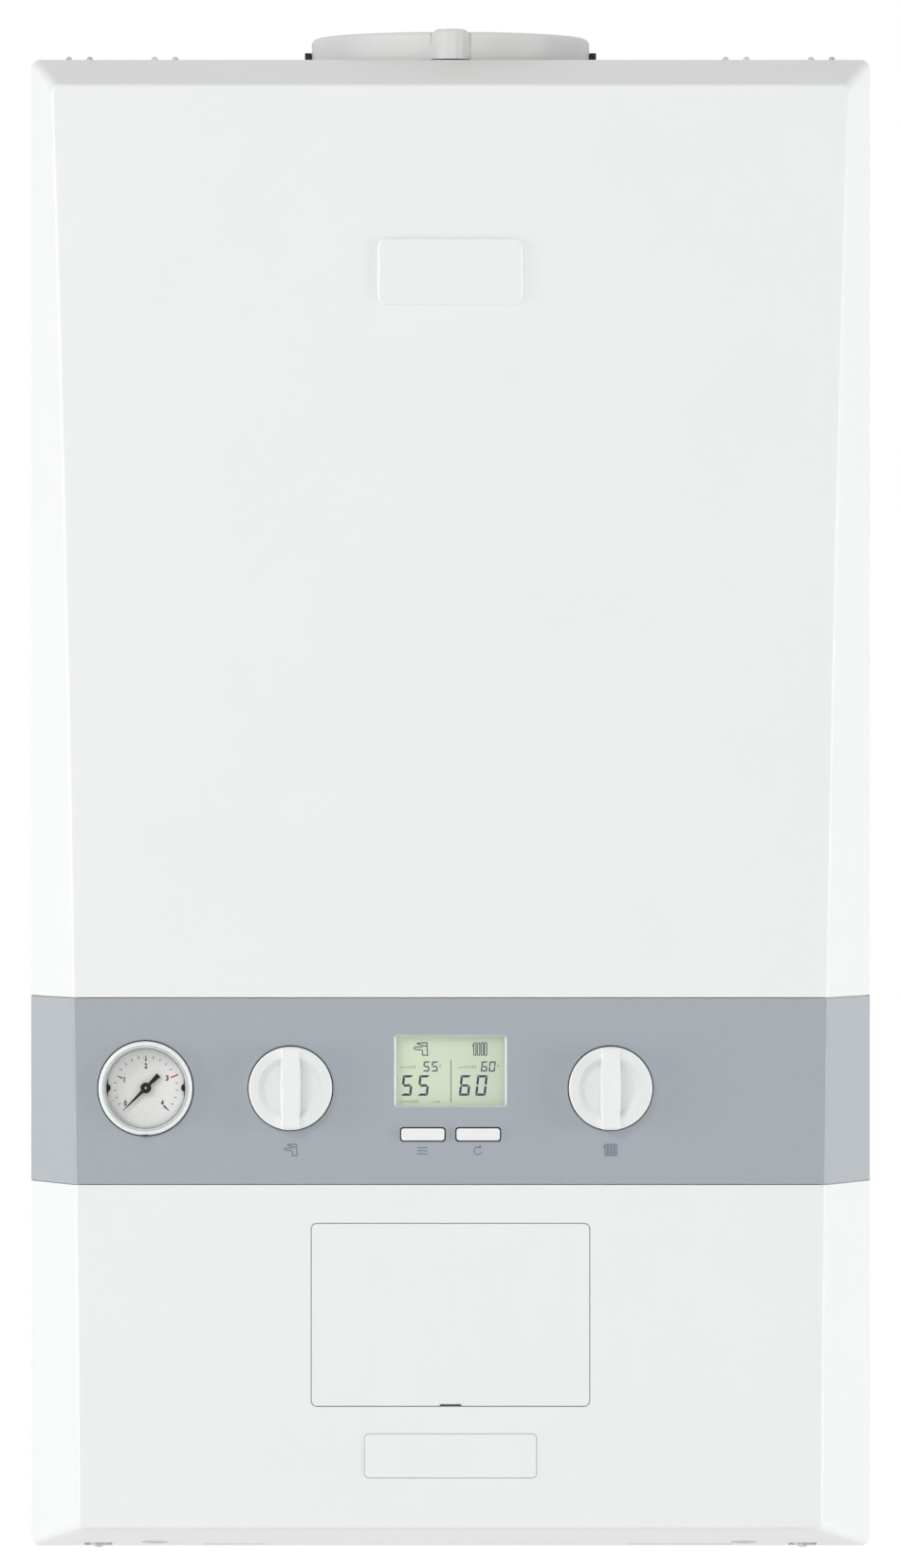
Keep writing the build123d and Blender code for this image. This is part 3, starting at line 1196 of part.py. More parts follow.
def make_expansion_vessel():
    """The flat expansion vessel on the back frame, with its seam and its hose boss."""
    middle = VESSEL_BOTTOM + VESSEL_H / 2
    half_shells = RectangleRounded(VESSEL_W, VESSEL_H, VESSEL_R)
    vessel = slab(half_shells, VESSEL_BACK, VESSEL_BACK + VESSEL_T, 0, middle)
    rims = [e for e in vessel.edges() if abs(e.bounding_box().size.Y) < 0.01]
    vessel = vessel.fillet(10, rims)
    seam = VESSEL_BACK + VESSEL_T / 2
    rim = RectangleRounded(VESSEL_W + 6, VESSEL_H + 6, VESSEL_R + 3)
    vessel += slab(rim, seam - 1, seam + 1, 0, middle)
    vessel += post(8.0, HOSE_X, seam, VESSEL_BOTTOM - 9, VESSEL_BOTTOM + 6)
    return vessel - post(HOSE_R + FIT, HOSE_X, seam, VESSEL_BOTTOM - 10, VESSEL_BOTTOM - 1)


def make_vessel_hose():
    """The hose from the vessel to the return block."""
    seam = VESSEL_BACK + VESSEL_T / 2
    far = 2 * TAIL_PITCH + 20
    return pipe(
        HOSE_R, 1.5, 28,
        (HOSE_X, seam, VESSEL_BOTTOM - 1),
        (HOSE_X, seam, VESSEL_BOTTOM - 80),
        (far, BLOCK_BACK + 10, VESSEL_BOTTOM - 145),
        (far, BLOCK_BACK + 10, BLOCK_TOP),
    )


def block_legs(x):
    """Two legs that stand a water block on the base."""
    legs = block(x - 30, x - 20, PIPE_D - 8, PIPE_D + 8, BASE_IN, BLOCK_BOTTOM)
    return legs + block(x + 20, x + 30, PIPE_D - 8, PIPE_D + 8, BASE_IN, BLOCK_BOTTOM)


def tail(x, d, r, top):
    """A pipe tail that reaches down through the base, with a shoulder for its nut."""
    shoulder = tube(r + 2, r - PIPE_WALL, x, d, BLOCK_BOTTOM, BLOCK_BOTTOM + 2)
    return shoulder + tube(r, r - PIPE_WALL, x, d, TAIL_END, top)


def make_diverter_valve():
    """The flow block on the left: the diverter, both its outlets and the relief valve."""
    x = DIVERTER_X
    half = BLOCK_HALF
    body = block(x - half, x + half, BLOCK_BACK, BLOCK_FRONT, BLOCK_BOTTOM, DIVERTER_TOP)
    body = body.fillet(3, body.edges())
    body += block(x, -50, TAIL_D - 10, STACK_BACK, ARM_BOTTOM, ARM_TOP)
    body += block_legs(x)
    body += post(13.0, FLOW_FOOT_X, PIPE_D, DIVERTER_TOP - 4, DIVERTER_TOP + 20)
    body -= post(FLOW_R + FIT, FLOW_FOOT_X, PIPE_D, DIVERTER_TOP, DIVERTER_TOP + 21)
    body += tail(-2 * TAIL_PITCH, TAIL_D, HEATING_R, BLOCK_BOTTOM + 2)
    body += tail(-TAIL_PITCH, TAIL_D, WATER_R, ARM_BOTTOM + 2)
    body += rod(RELIEF_R, RELIEF_X, RELIEF_H, TAIL_D - 3, RELIEF_FRONT)
    body += block(RELIEF_X, x - half + 2, TAIL_D + 2, TAIL_D + 16, RELIEF_H - 7, RELIEF_H + 7)
    body += tail(RELIEF_X, TAIL_D + 9, WATER_R, RELIEF_H - 5)
    body -= rod(STEM_R + RUNNING, RELIEF_X, RELIEF_H, RELIEF_FRONT - 9, RELIEF_FRONT + 1)
    return body - post(STEM_R + RUNNING, STEM_X, STEM_D, DIVERTER_TOP - 24, DIVERTER_TOP + 1)


def make_diverter_stem():
    """The stem that the diverter's motor moves up and down."""
    top = DIVERTER_TOP + 22
    stem = post(STEM_R, STEM_X, STEM_D, DIVERTER_TOP - 14, top)
    return stem + post(5.0, STEM_X, STEM_D, top - 3, top)


def make_diverter_actuator():
    """The diverter's motor on top of the block, hollow where the stem moves."""
    body = post(15.0, STEM_X, STEM_D, DIVERTER_TOP, DIVERTER_TOP + 46)
    plug = DIVERTER_TOP + 18
    body += block(STEM_X - 10, STEM_X + 10, STEM_D - 22, STEM_D - 8, plug, plug + 20)
    return body - post(7.0, STEM_X, STEM_D, DIVERTER_TOP - 1, DIVERTER_TOP + 22 + STEM_TRAVEL + 2)


def make_relief_knob():
    """The relief valve's knob: fluted round its edge, on a short spindle."""
    back = RELIEF_FRONT + FIT
    knob = rod(RELIEF_KNOB_R, RELIEF_X, RELIEF_H, back, back + 14)
    for turn in range(8):
        angle = math.radians(45 * turn)
        x = RELIEF_X + (RELIEF_KNOB_R + 1) * math.cos(angle)
        h = RELIEF_H + (RELIEF_KNOB_R + 1) * math.sin(angle)
        knob -= rod(2.4, x, h, back - 1, back + 15)
    return knob + rod(STEM_R, RELIEF_X, RELIEF_H, RELIEF_FRONT - 8, back)


def make_return_manifold():
    """The return block on the right, with the cold water inlet and its arm."""
    x = 2 * TAIL_PITCH
    half = BLOCK_HALF
    body = block(x - half, x + half, BLOCK_BACK, BLOCK_FRONT, BLOCK_BOTTOM, BLOCK_TOP)
    body = body.fillet(3, body.edges())
    body += block(50, x, TAIL_D - 10, STACK_BACK, ARM_BOTTOM, BLOCK_TOP - 2)
    body += block_legs(x)
    body += tail(x, TAIL_D, HEATING_R, BLOCK_BOTTOM + 2)
    return body + tail(TAIL_PITCH, TAIL_D, WATER_R, ARM_BOTTOM + 2)


def make_plate_exchanger():
    """The plate heat exchanger for hot water: a brazed stack between the two blocks."""
    length = STACK_PLATES * STACK_PITCH
    middle = (STACK_BOTTOM + STACK_TOP) / 2
    height = STACK_TOP - STACK_BOTTOM
    core = RectangleRounded(2 * STACK_HALF - 5, height - 5, 16)
    stack = slab(core, STACK_BACK, STACK_BACK + length, 0, middle)
    plate = RectangleRounded(2 * STACK_HALF, height, 18)
    for step in range(STACK_PLATES):
        d = STACK_BACK + STACK_PITCH * step
        stack += slab(plate, d, d + STACK_PITCH / 2, 0, middle)
    return stack


def make_pump_body():
    """The pump's cast volute, standing on the return block."""
    d = PUMP_BACK + PUMP_D / 2
    front = PUMP_BACK + PUMP_D
    body = rod(PUMP_R, PUMP_X, PUMP_H, PUMP_BACK, front)
    body += post(15.0, PUMP_X, d, BLOCK_TOP, PUMP_H - 20)
    body += post(13.0, PUMP_X, d, PUMP_H + 20, PUMP_TOP)
    chamber = PUMP_IMPELLER_R + 3
    body -= rod(chamber, PUMP_X, PUMP_H, PUMP_BACK + PUMP_WALL, front - PUMP_WALL)
    body -= rod(PUMP_SHAFT_R + 2, PUMP_X, PUMP_H, front - PUMP_WALL - 1, front + 1)
    return body - post(FLOW_R + FIT, PUMP_X, d, PUMP_TOP - 10, PUMP_TOP + 1)


def make_pump_impeller():
    """The pump's impeller on its shaft."""
    back = PUMP_BACK + PUMP_WALL + 2
    front = PUMP_BACK + PUMP_D - PUMP_WALL - 2
    wheel = rod(PUMP_IMPELLER_R, PUMP_X, PUMP_H, front - 3, front)
    for turn in range(6):
        vane = block(6, PUMP_IMPELLER_R, 0, front - back, -1.2, 1.2)
        wheel += Pos(PUMP_X, -back, PUMP_H) * Rot(0, 60 * turn, 0) * vane
    wheel += rod(8.0, PUMP_X, PUMP_H, back, front)
    return wheel + rod(PUMP_SHAFT_R, PUMP_X, PUMP_H, front, PUMP_BACK + PUMP_D + 20)


def make_pump_motor():
    """The pump's motor with its terminal box."""
    back = PUMP_BACK + PUMP_D
    motor = rod(PUMP_MOTOR_R, PUMP_X, PUMP_H, back, back + PUMP_MOTOR_D)
    rim = [e for e in motor.edges() if abs(e.center().Y + back + PUMP_MOTOR_D) < 0.01]
    motor = motor.fillet(5, rim)
    top = PUMP_H + PUMP_MOTOR_R
    motor += block(PUMP_X - 24, PUMP_X + 24, back + 14, back + 58, top - 14, top + 16)
    return motor - rod(PUMP_SHAFT_R + RUNNING, PUMP_X, PUMP_H, back - 1, back + 21)


def make_heating_pipes():
    """The flow pipe down to the diverter and the return pipe up from the pump."""
    flow = pipe(
        FLOW_R, PIPE_WALL, 60,
        (FLOW_X, PIPE_D, STUB_TOP + 16),
        (FLOW_X, PIPE_D, 250),
        (FLOW_FOOT_X, PIPE_D, 170),
        (FLOW_FOOT_X, PIPE_D, DIVERTER_TOP),
    )
    back = PUMP_BACK + PUMP_D / 2
    back_up = pipe(
        FLOW_R, PIPE_WALL, 30,
        (PUMP_X, back, PUMP_TOP - 10),
        (PUMP_X, back, 205),
        (RETURN_X, PIPE_D, 205),
        (RETURN_X, PIPE_D, STUB_TOP + 16),
    )
    return group([flow, back_up])


def make_condensate_trap():
    """The condensate trap: a bottle on a foot, with its outlet through the base."""
    trap = post(TRAP_R, TRAP_X, TRAP_D, TRAP_BOTTOM, TRAP_TOP)
    rims = [e for e in trap.edges() if abs(e.bounding_box().size.Z) < 0.01]
    trap = trap.fillet(4, rims)
    trap += post(TRAP_R + 2, TRAP_X, TRAP_D, TRAP_TOP - 22, TRAP_TOP - 12)
    back = TRAP_D - TRAP_R
    trap += block(TRAP_X - 6, TRAP_X + 6, back, back + 6, BASE_IN, TRAP_BOTTOM + 12)
    trap += tube(CONDENSATE_R, CONDENSATE_R - 2, TRAP_X, TRAP_D, CONDENSATE_END, TRAP_BOTTOM + 2)
    return trap - post(DRAIN_HOSE_R + FIT, TRAP_X, TRAP_D, TRAP_TOP - 8, TRAP_TOP + 1)


def make_condensate_hose():
    """The hose from the exchanger's condensate outlet down into the trap."""
    return pipe(
        DRAIN_HOSE_R, 1.5, 26,
        (EXCHANGER_X, PIPE_D, STUB_TOP + 8),
        (EXCHANGER_X, PIPE_D, 270),
        (TRAP_X, TRAP_D, 215),
        (TRAP_X, TRAP_D, TRAP_TOP - 8),
    )


HOSE_X = 60.0
FLOW_FOOT_X = DIVERTER_X + 12
STEM_X = DIVERTER_X - 14
STEM_D = TAIL_D + 18
RELIEF_FRONT = TAIL_D + 41

save("expansion_vessel", make_expansion_vessel())
save("vessel_hose", make_vessel_hose())
save("diverter_valve", make_diverter_valve())
save("diverter_stem", make_diverter_stem())
save("diverter_actuator", make_diverter_actuator())
save("relief_knob", make_relief_knob())
save("return_manifold", make_return_manifold())
save("plate_exchanger", make_plate_exchanger())
save("pump_body", make_pump_body())
save("pump_impeller", make_pump_impeller())
save("pump_motor", make_pump_motor())
save("heating_pipes", make_heating_pipes())
save("condensate_trap", make_condensate_trap())
save("condensate_hose", make_condensate_hose())
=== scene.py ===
# %% [markdown]
# # A wall-hung combination boiler, dressed and photographed
# The boiler's shapes come from an engineering model: sixty named parts in metres, which hang
# on a wall bracket. This lesson gives each part its finish, prints the dial, the display and
# the pictograms, and sets up a plain studio. We never move or reshape a part, so everything
# that we add takes its place from the model's own sizes.

# %% Load the frame
import math

import bmesh
import bpy
from mathutils import Matrix, Vector


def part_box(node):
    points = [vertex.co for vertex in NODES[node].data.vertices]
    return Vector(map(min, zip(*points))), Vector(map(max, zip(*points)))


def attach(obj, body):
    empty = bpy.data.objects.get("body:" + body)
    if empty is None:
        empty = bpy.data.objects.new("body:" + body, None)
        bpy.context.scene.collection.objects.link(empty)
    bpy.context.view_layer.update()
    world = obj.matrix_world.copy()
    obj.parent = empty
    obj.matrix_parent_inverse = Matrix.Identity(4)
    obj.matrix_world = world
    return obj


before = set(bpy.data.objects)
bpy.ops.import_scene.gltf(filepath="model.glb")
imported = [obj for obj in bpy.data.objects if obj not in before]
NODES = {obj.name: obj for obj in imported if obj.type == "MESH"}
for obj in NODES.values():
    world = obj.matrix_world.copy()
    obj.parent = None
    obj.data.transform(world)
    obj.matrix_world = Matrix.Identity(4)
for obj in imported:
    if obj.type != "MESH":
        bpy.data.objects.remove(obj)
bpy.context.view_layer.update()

# %% [markdown]
# The model's drawings measure from the casing's bottom edge and from the wall: x to the right,
# d out from the wall and h upwards, in millimetres. Blender wants metres with the origin at the
# wall fixings. One small helper turns the first into the second, so that every number below can
# be read off the object with a ruler.

# %% Millimetres on the casing to metres in the scene
MM = 0.001
FIXING_H = 640.0
FRONT_D = 278.0


def spot(x, d, h):
    """A point x across, d out from the wall and h above the casing's bottom edge."""
    return Vector((x * MM, -d * MM, (h - FIXING_H) * MM))


print("the middle of the front is at", spot(0, FRONT_D, 350))

# %% [markdown]
# ## The camera
# The photograph was taken from far away with a long lens: the sloping borders show only because
# the front face, which is nearer, looks a little larger than the casing behind it. That ratio
# gives the distance, just under six metres, and the picture's scale then gives the lens.

# %% The camera
CAMERA_DISTANCE = 5937.0
CAMERA_H = 358.8
scene = bpy.context.scene
lens = bpy.data.cameras.new("camera")
lens.sensor_width = 36.0
lens.lens = 292.7
lens.clip_start = 0.1
lens.clip_end = 60.0
camera = bpy.data.objects.new("camera", lens)
camera.location = spot(0, FRONT_D + CAMERA_DISTANCE, CAMERA_H)
camera.rotation_euler = (math.radians(90), 0, 0)
bpy.context.collection.objects.link(camera)
scene.camera = camera
print("camera", round(CAMERA_DISTANCE * MM, 2), "m in front, lens", lens.lens, "mm")

# %% [markdown]
# ## Wiring nodes
# The world and every material are small networks of nodes. Made by hand in the editor they would
# be quick to draw; in a script each node takes several lines, which bury the idea. These helpers
# add a node and feed its sockets in one line, with either a number or another node's output.

# %% Helpers for node networks
WHITE = (1, 1, 1, 1)


def feed(tree, socket, value):
    """Links a socket to another node's output, or else sets it to a value."""
    if isinstance(value, bpy.types.NodeSocket):
        tree.links.new(value, socket)
    else:
        socket.default_value = value


def add_node(tree, kind, feeds):
    """A shader node, with what feeds its input sockets."""
    node = tree.nodes.new("ShaderNode" + kind)
    for socket, value in feeds.items():
        feed(tree, node.inputs[socket], value)
    return node


def calculate(tree, operation, *values):
    """The result of a Math node."""
    node = add_node(tree, "Math", dict(enumerate(values)))
    node.operation = operation
    return node.outputs[0]


def blend_colours(tree, share, first, second):
    """The first colour where the share is 0 and the second where it is 1."""
    node = tree.nodes.new("ShaderNodeMix")
    node.data_type = "RGBA"
    for socket, value in ((0, share), (6, first), (7, second)):
        feed(tree, node.inputs[socket], value)
    return node.outputs[2]


def blend_shaders(tree, share, first, second):
    """The first shader where the share is 0 and the second where it is 1."""
    return add_node(tree, "MixShader", {0: share, 1: first, 2: second}).outputs[0]


def empty_tree(owner):
    """The node tree of a world or a material, with nothing in it."""
    owner.use_nodes = True
    owner.node_tree.nodes.clear()
    return owner.node_tree


print("node helpers ready")

# %% [markdown]
# ## The studio
# A white product on white needs soft light from every side, or its edges drown. The world is
# one big soft dome, brightest on the camera's side, so that the recessed dial and display get
# their light, and dimmer above and behind. It could be one flat white, but then nothing would
# tell top from side. Overhead it is a little warm, as a room's ceiling is. The camera and the
# reflections see plain white instead of the dome, through the Light Path node.

# %% The dome
FRONT_GAIN, MEAN_LEVEL, TOP_GAIN = -0.385, 0.365, 0.12
scene.view_settings.view_transform = "Standard"


def seen_directly(tree):
    """1 for what the camera, a reflection or a clear lens sees, and 0 for soft light."""
    path = tree.nodes.new("ShaderNodeLightPath")
    total = path.outputs["Is Camera Ray"]
    for ray in ("Is Glossy Ray", "Is Transmission Ray"):
        total = calculate(tree, "MAXIMUM", total, path.outputs[ray])
    return total


scene.world = bpy.data.worlds.new("studio")
tree = empty_tree(scene.world)
direction = tree.nodes.new("ShaderNodeTexCoord")
parts = add_node(tree, "SeparateXYZ", {0: direction.outputs["Generated"]})
forward = calculate(tree, "MULTIPLY_ADD", parts.outputs["Y"], FRONT_GAIN, MEAN_LEVEL)
level = calculate(tree, "MULTIPLY_ADD", parts.outputs["Z"], TOP_GAIN, forward)
warmth = blend_colours(tree, parts.outputs["Z"], WHITE, (1, 0.98, 0.91, 1))
dome = add_node(tree, "Background", {"Color": warmth, "Strength": level})
backdrop = add_node(tree, "Background", {"Color": WHITE, "Strength": 1.0})
choice = blend_shaders(tree, seen_directly(tree), dome.outputs[0], backdrop.outputs[0])
add_node(tree, "OutputWorld", {"Surface": choice})
print("dome made")

# %% [markdown]
# Three lamps give the dome a direction. In the photograph the gauge's pointer throws a soft
# shadow down to the right, so the key lamp stands high on the left. The two side borders are
# brighter than the front and their folds carry a bright line, so a tall lamp stands on either
# side, almost level with the front face: it grazes the front and hits the borders squarely.
# Both stand a little low, so that the bottom border gets some of their light too.

# %% The lamps
MIDDLE = spot(0, 200, 350)


def lamp(name, towards, distance, size, power):
    """A lamp, size wide and high, that looks at the casing's middle from a direction."""
    data = bpy.data.lights.new(name, "AREA")
    data.shape = "RECTANGLE"
    data.size, data.size_y = size
    data.energy = power
    obj = bpy.data.objects.new(name, data)
    way = Vector(towards).normalized()
    obj.location = MIDDLE + way * distance
    obj.rotation_euler = way.to_track_quat("Z", "Y").to_euler()
    bpy.context.collection.objects.link(obj)


lamp("key_lamp", towards=(-0.55, -0.78, 0.42), distance=3.0, size=(0.9, 0.9), power=17.0)
lamp("left_lamp", towards=(-0.96, -0.25, -0.12), distance=2.4, size=(0.4, 1.4), power=22.5)
lamp("right_lamp", towards=(0.96, -0.25, -0.12), distance=2.4, size=(0.4, 1.4), power=28.0)
print("three lamps")

# %% [markdown]
# The floor lies 0.3 m under the boiler, which hangs on its wall bracket. It keeps the soft
# shadow, and a little extra brightness for the camera lets the rest of it meet the white
# background without a line. The light that it throws up on the boiler is warm. From below, its
# back lets the view through, so that the underside can be looked at too.

# %% The floor
FLOOR_H = -300.0
FLOOR_REACH = 30.0
SEEN_GLOW, SOFT_GLOW = 0.52, 0.18
floor_mesh = bpy.data.meshes.new("floor")
sheet = bmesh.new()
bmesh.ops.create_grid(sheet, x_segments=1, y_segments=1, size=FLOOR_REACH)
sheet.to_mesh(floor_mesh)
sheet.free()
floor = bpy.data.objects.new("floor", floor_mesh)
floor.location = spot(0, 0, FLOOR_H)
bpy.context.collection.objects.link(floor)
paper = bpy.data.materials.new("floor_paper")
tree = empty_tree(paper)
matt = add_node(tree, "BsdfDiffuse", {"Color": (0.75, 0.75, 0.75, 1)})
seen = seen_directly(tree)
glow = add_node(tree, "Emission", {
    "Color": blend_colours(tree, seen, (1, 0.98, 0.95, 1), WHITE),
    "Strength": calculate(tree, "MULTIPLY_ADD", seen, SEEN_GLOW, SOFT_GLOW)})
both = add_node(tree, "AddShader", {0: matt.outputs[0], 1: glow.outputs[0]})
face = tree.nodes.new("ShaderNodeNewGeometry")
clear = tree.nodes.new("ShaderNodeBsdfTransparent")
cut = blend_shaders(tree, face.outputs["Backfacing"], both.outputs[0], clear.outputs[0])
add_node(tree, "OutputMaterial", {"Surface": cut})
floor_mesh.materials.append(paper)
print("floor at", floor.location.z, "m")

# %% [markdown]
# ## Finishes
# A finish is more than its colour: powder coat has orange peel, a moulding has the tool's fine
# spark grain, zinc has spangle. Each of these is a small pattern in space, read from Object
# coordinates, so it stays in the material when a piece turns and needs no unwrapping. One
# helper makes the shader and one the pattern, and three more let the pattern change the colour,
# the shine or the surface's height.

# %% Helpers for finishes
FINISH = {}


def paint(red, green, blue):
    """A colour as a picture shows it, 0 to 255, turned into light."""
    light = []
    for c in (red, green, blue):
        c = c / 255
        light.append(c / 12.92 if c <= 0.04045 else ((c + 0.055) / 1.055) ** 2.4)
    return (*light, 1.0)


def new_finish(name, roughness, metallic=0.0):
    """A material of that slot's name, with its shader."""
    material = bpy.data.materials.new(name)
    material.use_nodes = True
    shader = material.node_tree.nodes["Principled BSDF"]
    shader.inputs["Roughness"].default_value = roughness
    shader.inputs["Metallic"].default_value = metallic
    FINISH[name] = material
    return material, shader


def grain(material, scale, detail=2.0, stretch=(1, 1, 1), kind="Noise"):
    """A pattern whose features are about 1 / scale metres across."""
    tree = material.node_tree
    place = tree.nodes.new("ShaderNodeTexCoord")
    mapping = add_node(tree, "Mapping", {"Vector": place.outputs["Object"], "Scale": stretch})
    texture = add_node(tree, "Tex" + kind, {
        "Vector": mapping.outputs["Vector"], "Scale": scale, "Detail": detail})
    return texture.outputs["Fac" if kind == "Noise" else "Distance"]


def tint(material, shader, pattern, dark, light, low=0.35, high=0.65):
    """Lets a pattern run the colour from dark to light."""
    ramp = add_node(material.node_tree, "ValToRGB", {"Fac": pattern})
    for element, place, colour in zip(ramp.color_ramp.elements, (low, high), (dark, light)):
        element.position = place
        element.color = colour
    material.node_tree.links.new(ramp.outputs["Color"], shader.inputs["Base Color"])
    return ramp.outputs["Color"]


def shine(material, shader, pattern, low, high):
    """Lets a pattern change the roughness."""
    spread = add_node(material.node_tree, "MapRange", {
        "Value": pattern, "From Min": 0.3, "From Max": 0.7, "To Min": low, "To Max": high})
    material.node_tree.links.new(spread.outputs["Result"], shader.inputs["Roughness"])


def relief(material, shader, pattern, height, strength=0.4):
    """Lets a pattern raise the surface by a height in millimetres."""
    bump = add_node(material.node_tree, "Bump", {
        "Height": pattern, "Strength": strength, "Distance": height * MM})
    material.node_tree.links.new(bump.outputs["Normal"], shader.inputs["Normal"])


print("helpers ready")

# %% [markdown]
# The cover and the panels are steel sheet with a white satin powder coat. Powder melts into a
# skin with orange peel about a millimetre and a half across, which shows in reflections only.
# A broad, faint mottling keeps the large face from looking like flat paper.

# %% White powder coat
coat, shader = new_finish("white_enamel", 0.33)
broad = grain(coat, 14.0, 3.0)
tint(coat, shader, broad, paint(238, 242, 243), paint(240, 243, 244))
shine(coat, shader, broad, 0.31, 0.35)
relief(coat, shader, grain(coat, 620.0, 1.0), 0.05, 0.25)
print("white_enamel")

# %% [markdown]
# The grey band is a moulding with a spark-eroded grain: finer and duller than the coat, and
# speckled rather than mottled. A cool grey, as the photograph shows.

# %% Grey band
band, shader = new_finish("band_plastic", 0.33)
speckle = grain(band, 1500.0, 4.0)
tint(band, shader, speckle, paint(163, 170, 179), paint(168, 175, 183))
relief(band, shader, speckle, 0.03, 0.3)
print("band_plastic")

# %% [markdown]
# The dials, buttons and blanking plates are white mouldings with a smoother skin. Moulded
# plastic is never one tone: where it flowed and cooled it varies by a hair in colour and gloss.

# %% White mouldings
white, shader = new_finish("white_plastic", 0.3)
flow = grain(white, 60.0, 4.0, (1, 1, 0.4))
tint(white, shader, flow, paint(238, 242, 243), paint(240, 243, 244))
shine(white, shader, flow, 0.28, 0.33)
relief(white, shader, grain(white, 2200.0, 2.0), 0.01, 0.2)
collar, shader = new_finish("collar_plastic", 0.42)
flow = grain(collar, 45.0, 4.0, (1, 1, 0.3))
tint(collar, shader, flow, paint(232, 233, 233), paint(238, 239, 239))
shine(collar, shader, flow, 0.38, 0.48)
relief(collar, shader, grain(collar, 1400.0, 2.0), 0.02, 0.25)
print("white_plastic, collar_plastic")

# %% [markdown]
# Black mouldings stand behind every gap. The seals are rubber and foam: foam has open cells,
# which a Voronoi pattern gives.

# %% Black plastic, rubber and foam
black, shader = new_finish("black_plastic", 0.5)
shader.inputs["Specular IOR Level"].default_value = 0.25
speckle = grain(black, 900.0, 3.0)
tint(black, shader, speckle, paint(10, 11, 12), paint(19, 20, 22))
relief(black, shader, speckle, 0.03, 0.3)
rubber, shader = new_finish("gasket_rubber", 0.62)
bloom = grain(rubber, 90.0, 4.0)
tint(rubber, shader, bloom, paint(24, 24, 25), paint(40, 40, 41))
shine(rubber, shader, bloom, 0.55, 0.72)
relief(rubber, shader, grain(rubber, 700.0, 2.0), 0.04, 0.3)
foam, shader = new_finish("foam_seal", 0.9)
cells = grain(foam, 900.0, 0.0, kind="Voronoi")
tint(foam, shader, cells, paint(46, 46, 48), paint(24, 24, 25), 0.1, 0.7)
relief(foam, shader, cells, 0.2, 0.6)
print("black_plastic, gasket_rubber, foam_seal")

# %% [markdown]
# The bracket, the back and the small fixings are zinc plated. Zinc freezes in flat crystals a
# few millimetres across, each with its own grey and its own shine: the cell colour of a Voronoi
# pattern is just that.

# %% Zinc plate
zinc, shader = new_finish("zinc_steel", 0.4, 0.9)
crystals = grain(zinc, 160.0, 0.0, kind="Voronoi").node
grey = add_node(zinc.node_tree, "SeparateColor", {0: crystals.outputs["Color"]})
tint(zinc, shader, grey.outputs[0], paint(168, 172, 176), paint(205, 208, 211), 0.0, 1.0)
shine(zinc, shader, grey.outputs[1], 0.34, 0.5)
print("zinc_steel")

# %% [markdown]
# The inside has its own metals. Cast aluminium is sandy, stainless flue steel shows the fine
# lines of rolling, copper goes dull and pink in patches, brass keeps turning marks and cast
# iron wears a thick grey paint.

# %% Metals of the inside
flue, shader = new_finish("flue_metal", 0.3, 1.0)
lines = grain(flue, 260.0, 3.0, (1, 1, 0.06))
tint(flue, shader, lines, paint(176, 178, 180), paint(204, 206, 208))
shine(flue, shader, lines, 0.24, 0.38)
aluminium, shader = new_finish("cast_aluminium", 0.5, 0.85)
sand = grain(aluminium, 800.0, 5.0)
tint(aluminium, shader, grain(aluminium, 40.0, 4.0), paint(158, 161, 164), paint(186, 189, 191))
relief(aluminium, shader, sand, 0.12, 0.5)
copper, shader = new_finish("copper", 0.34, 1.0)
patches = grain(copper, 55.0, 5.0)
tint(copper, shader, patches, paint(176, 104, 74), paint(214, 144, 112))
shine(copper, shader, patches, 0.28, 0.46)
brass, shader = new_finish("brass", 0.36, 1.0)
marks = grain(brass, 300.0, 4.0, (0.2, 0.2, 1))
tint(brass, shader, marks, paint(176, 146, 86), paint(206, 178, 116))
relief(brass, shader, marks, 0.02, 0.3)
iron, shader = new_finish("cast_iron", 0.55)
skin = grain(iron, 500.0, 5.0)
tint(iron, shader, skin, paint(62, 66, 70), paint(80, 84, 88))
relief(iron, shader, skin, 0.15, 0.5)
print("flue_metal, cast_aluminium, copper, brass, cast_iron")

# %% [markdown]
# The vessel is enamelled red, the relief valve's knob is red plastic, and the boards are green
# laminate whose tracks show through the lacquer as slightly paler lines: a Voronoi pattern read
# on a coarse square grid would do, but a stretched noise is enough at this size.

# %% Colours of the inside
red, shader = new_finish("red_enamel", 0.32)
drift = grain(red, 18.0, 4.0)
tint(red, shader, drift, paint(150, 26, 22), paint(172, 34, 28))
relief(red, shader, grain(red, 500.0, 1.0), 0.06, 0.3)
knob_red, shader = new_finish("red_plastic", 0.34)
drift = grain(knob_red, 120.0, 3.0)
tint(knob_red, shader, drift, paint(176, 24, 20), paint(196, 34, 28))
shine(knob_red, shader, drift, 0.3, 0.42)
board, shader = new_finish("board_green", 0.4)
tracks = grain(board, 420.0, 2.0, (0.15, 1, 1))
tint(board, shader, tracks, paint(22, 84, 48), paint(48, 122, 76), 0.48, 0.54)
shine(board, shader, tracks, 0.34, 0.5)
chips, shader = new_finish("board_parts", 0.45)
lots = grain(chips, 70.0, 1.0)
tint(chips, shader, lots, paint(30, 32, 34), paint(60, 62, 66), 0.48, 0.52)
relief(chips, shader, grain(chips, 1500.0, 2.0), 0.02, 0.3)
wheel, shader = new_finish("impeller_plastic", 0.45)
fibres = grain(wheel, 600.0, 4.0, (1, 0.3, 1))
tint(wheel, shader, fibres, paint(176, 164, 140), paint(198, 188, 166))
relief(wheel, shader, fibres, 0.03, 0.3)
print("red_enamel, red_plastic, board_green, board_parts, impeller_plastic")

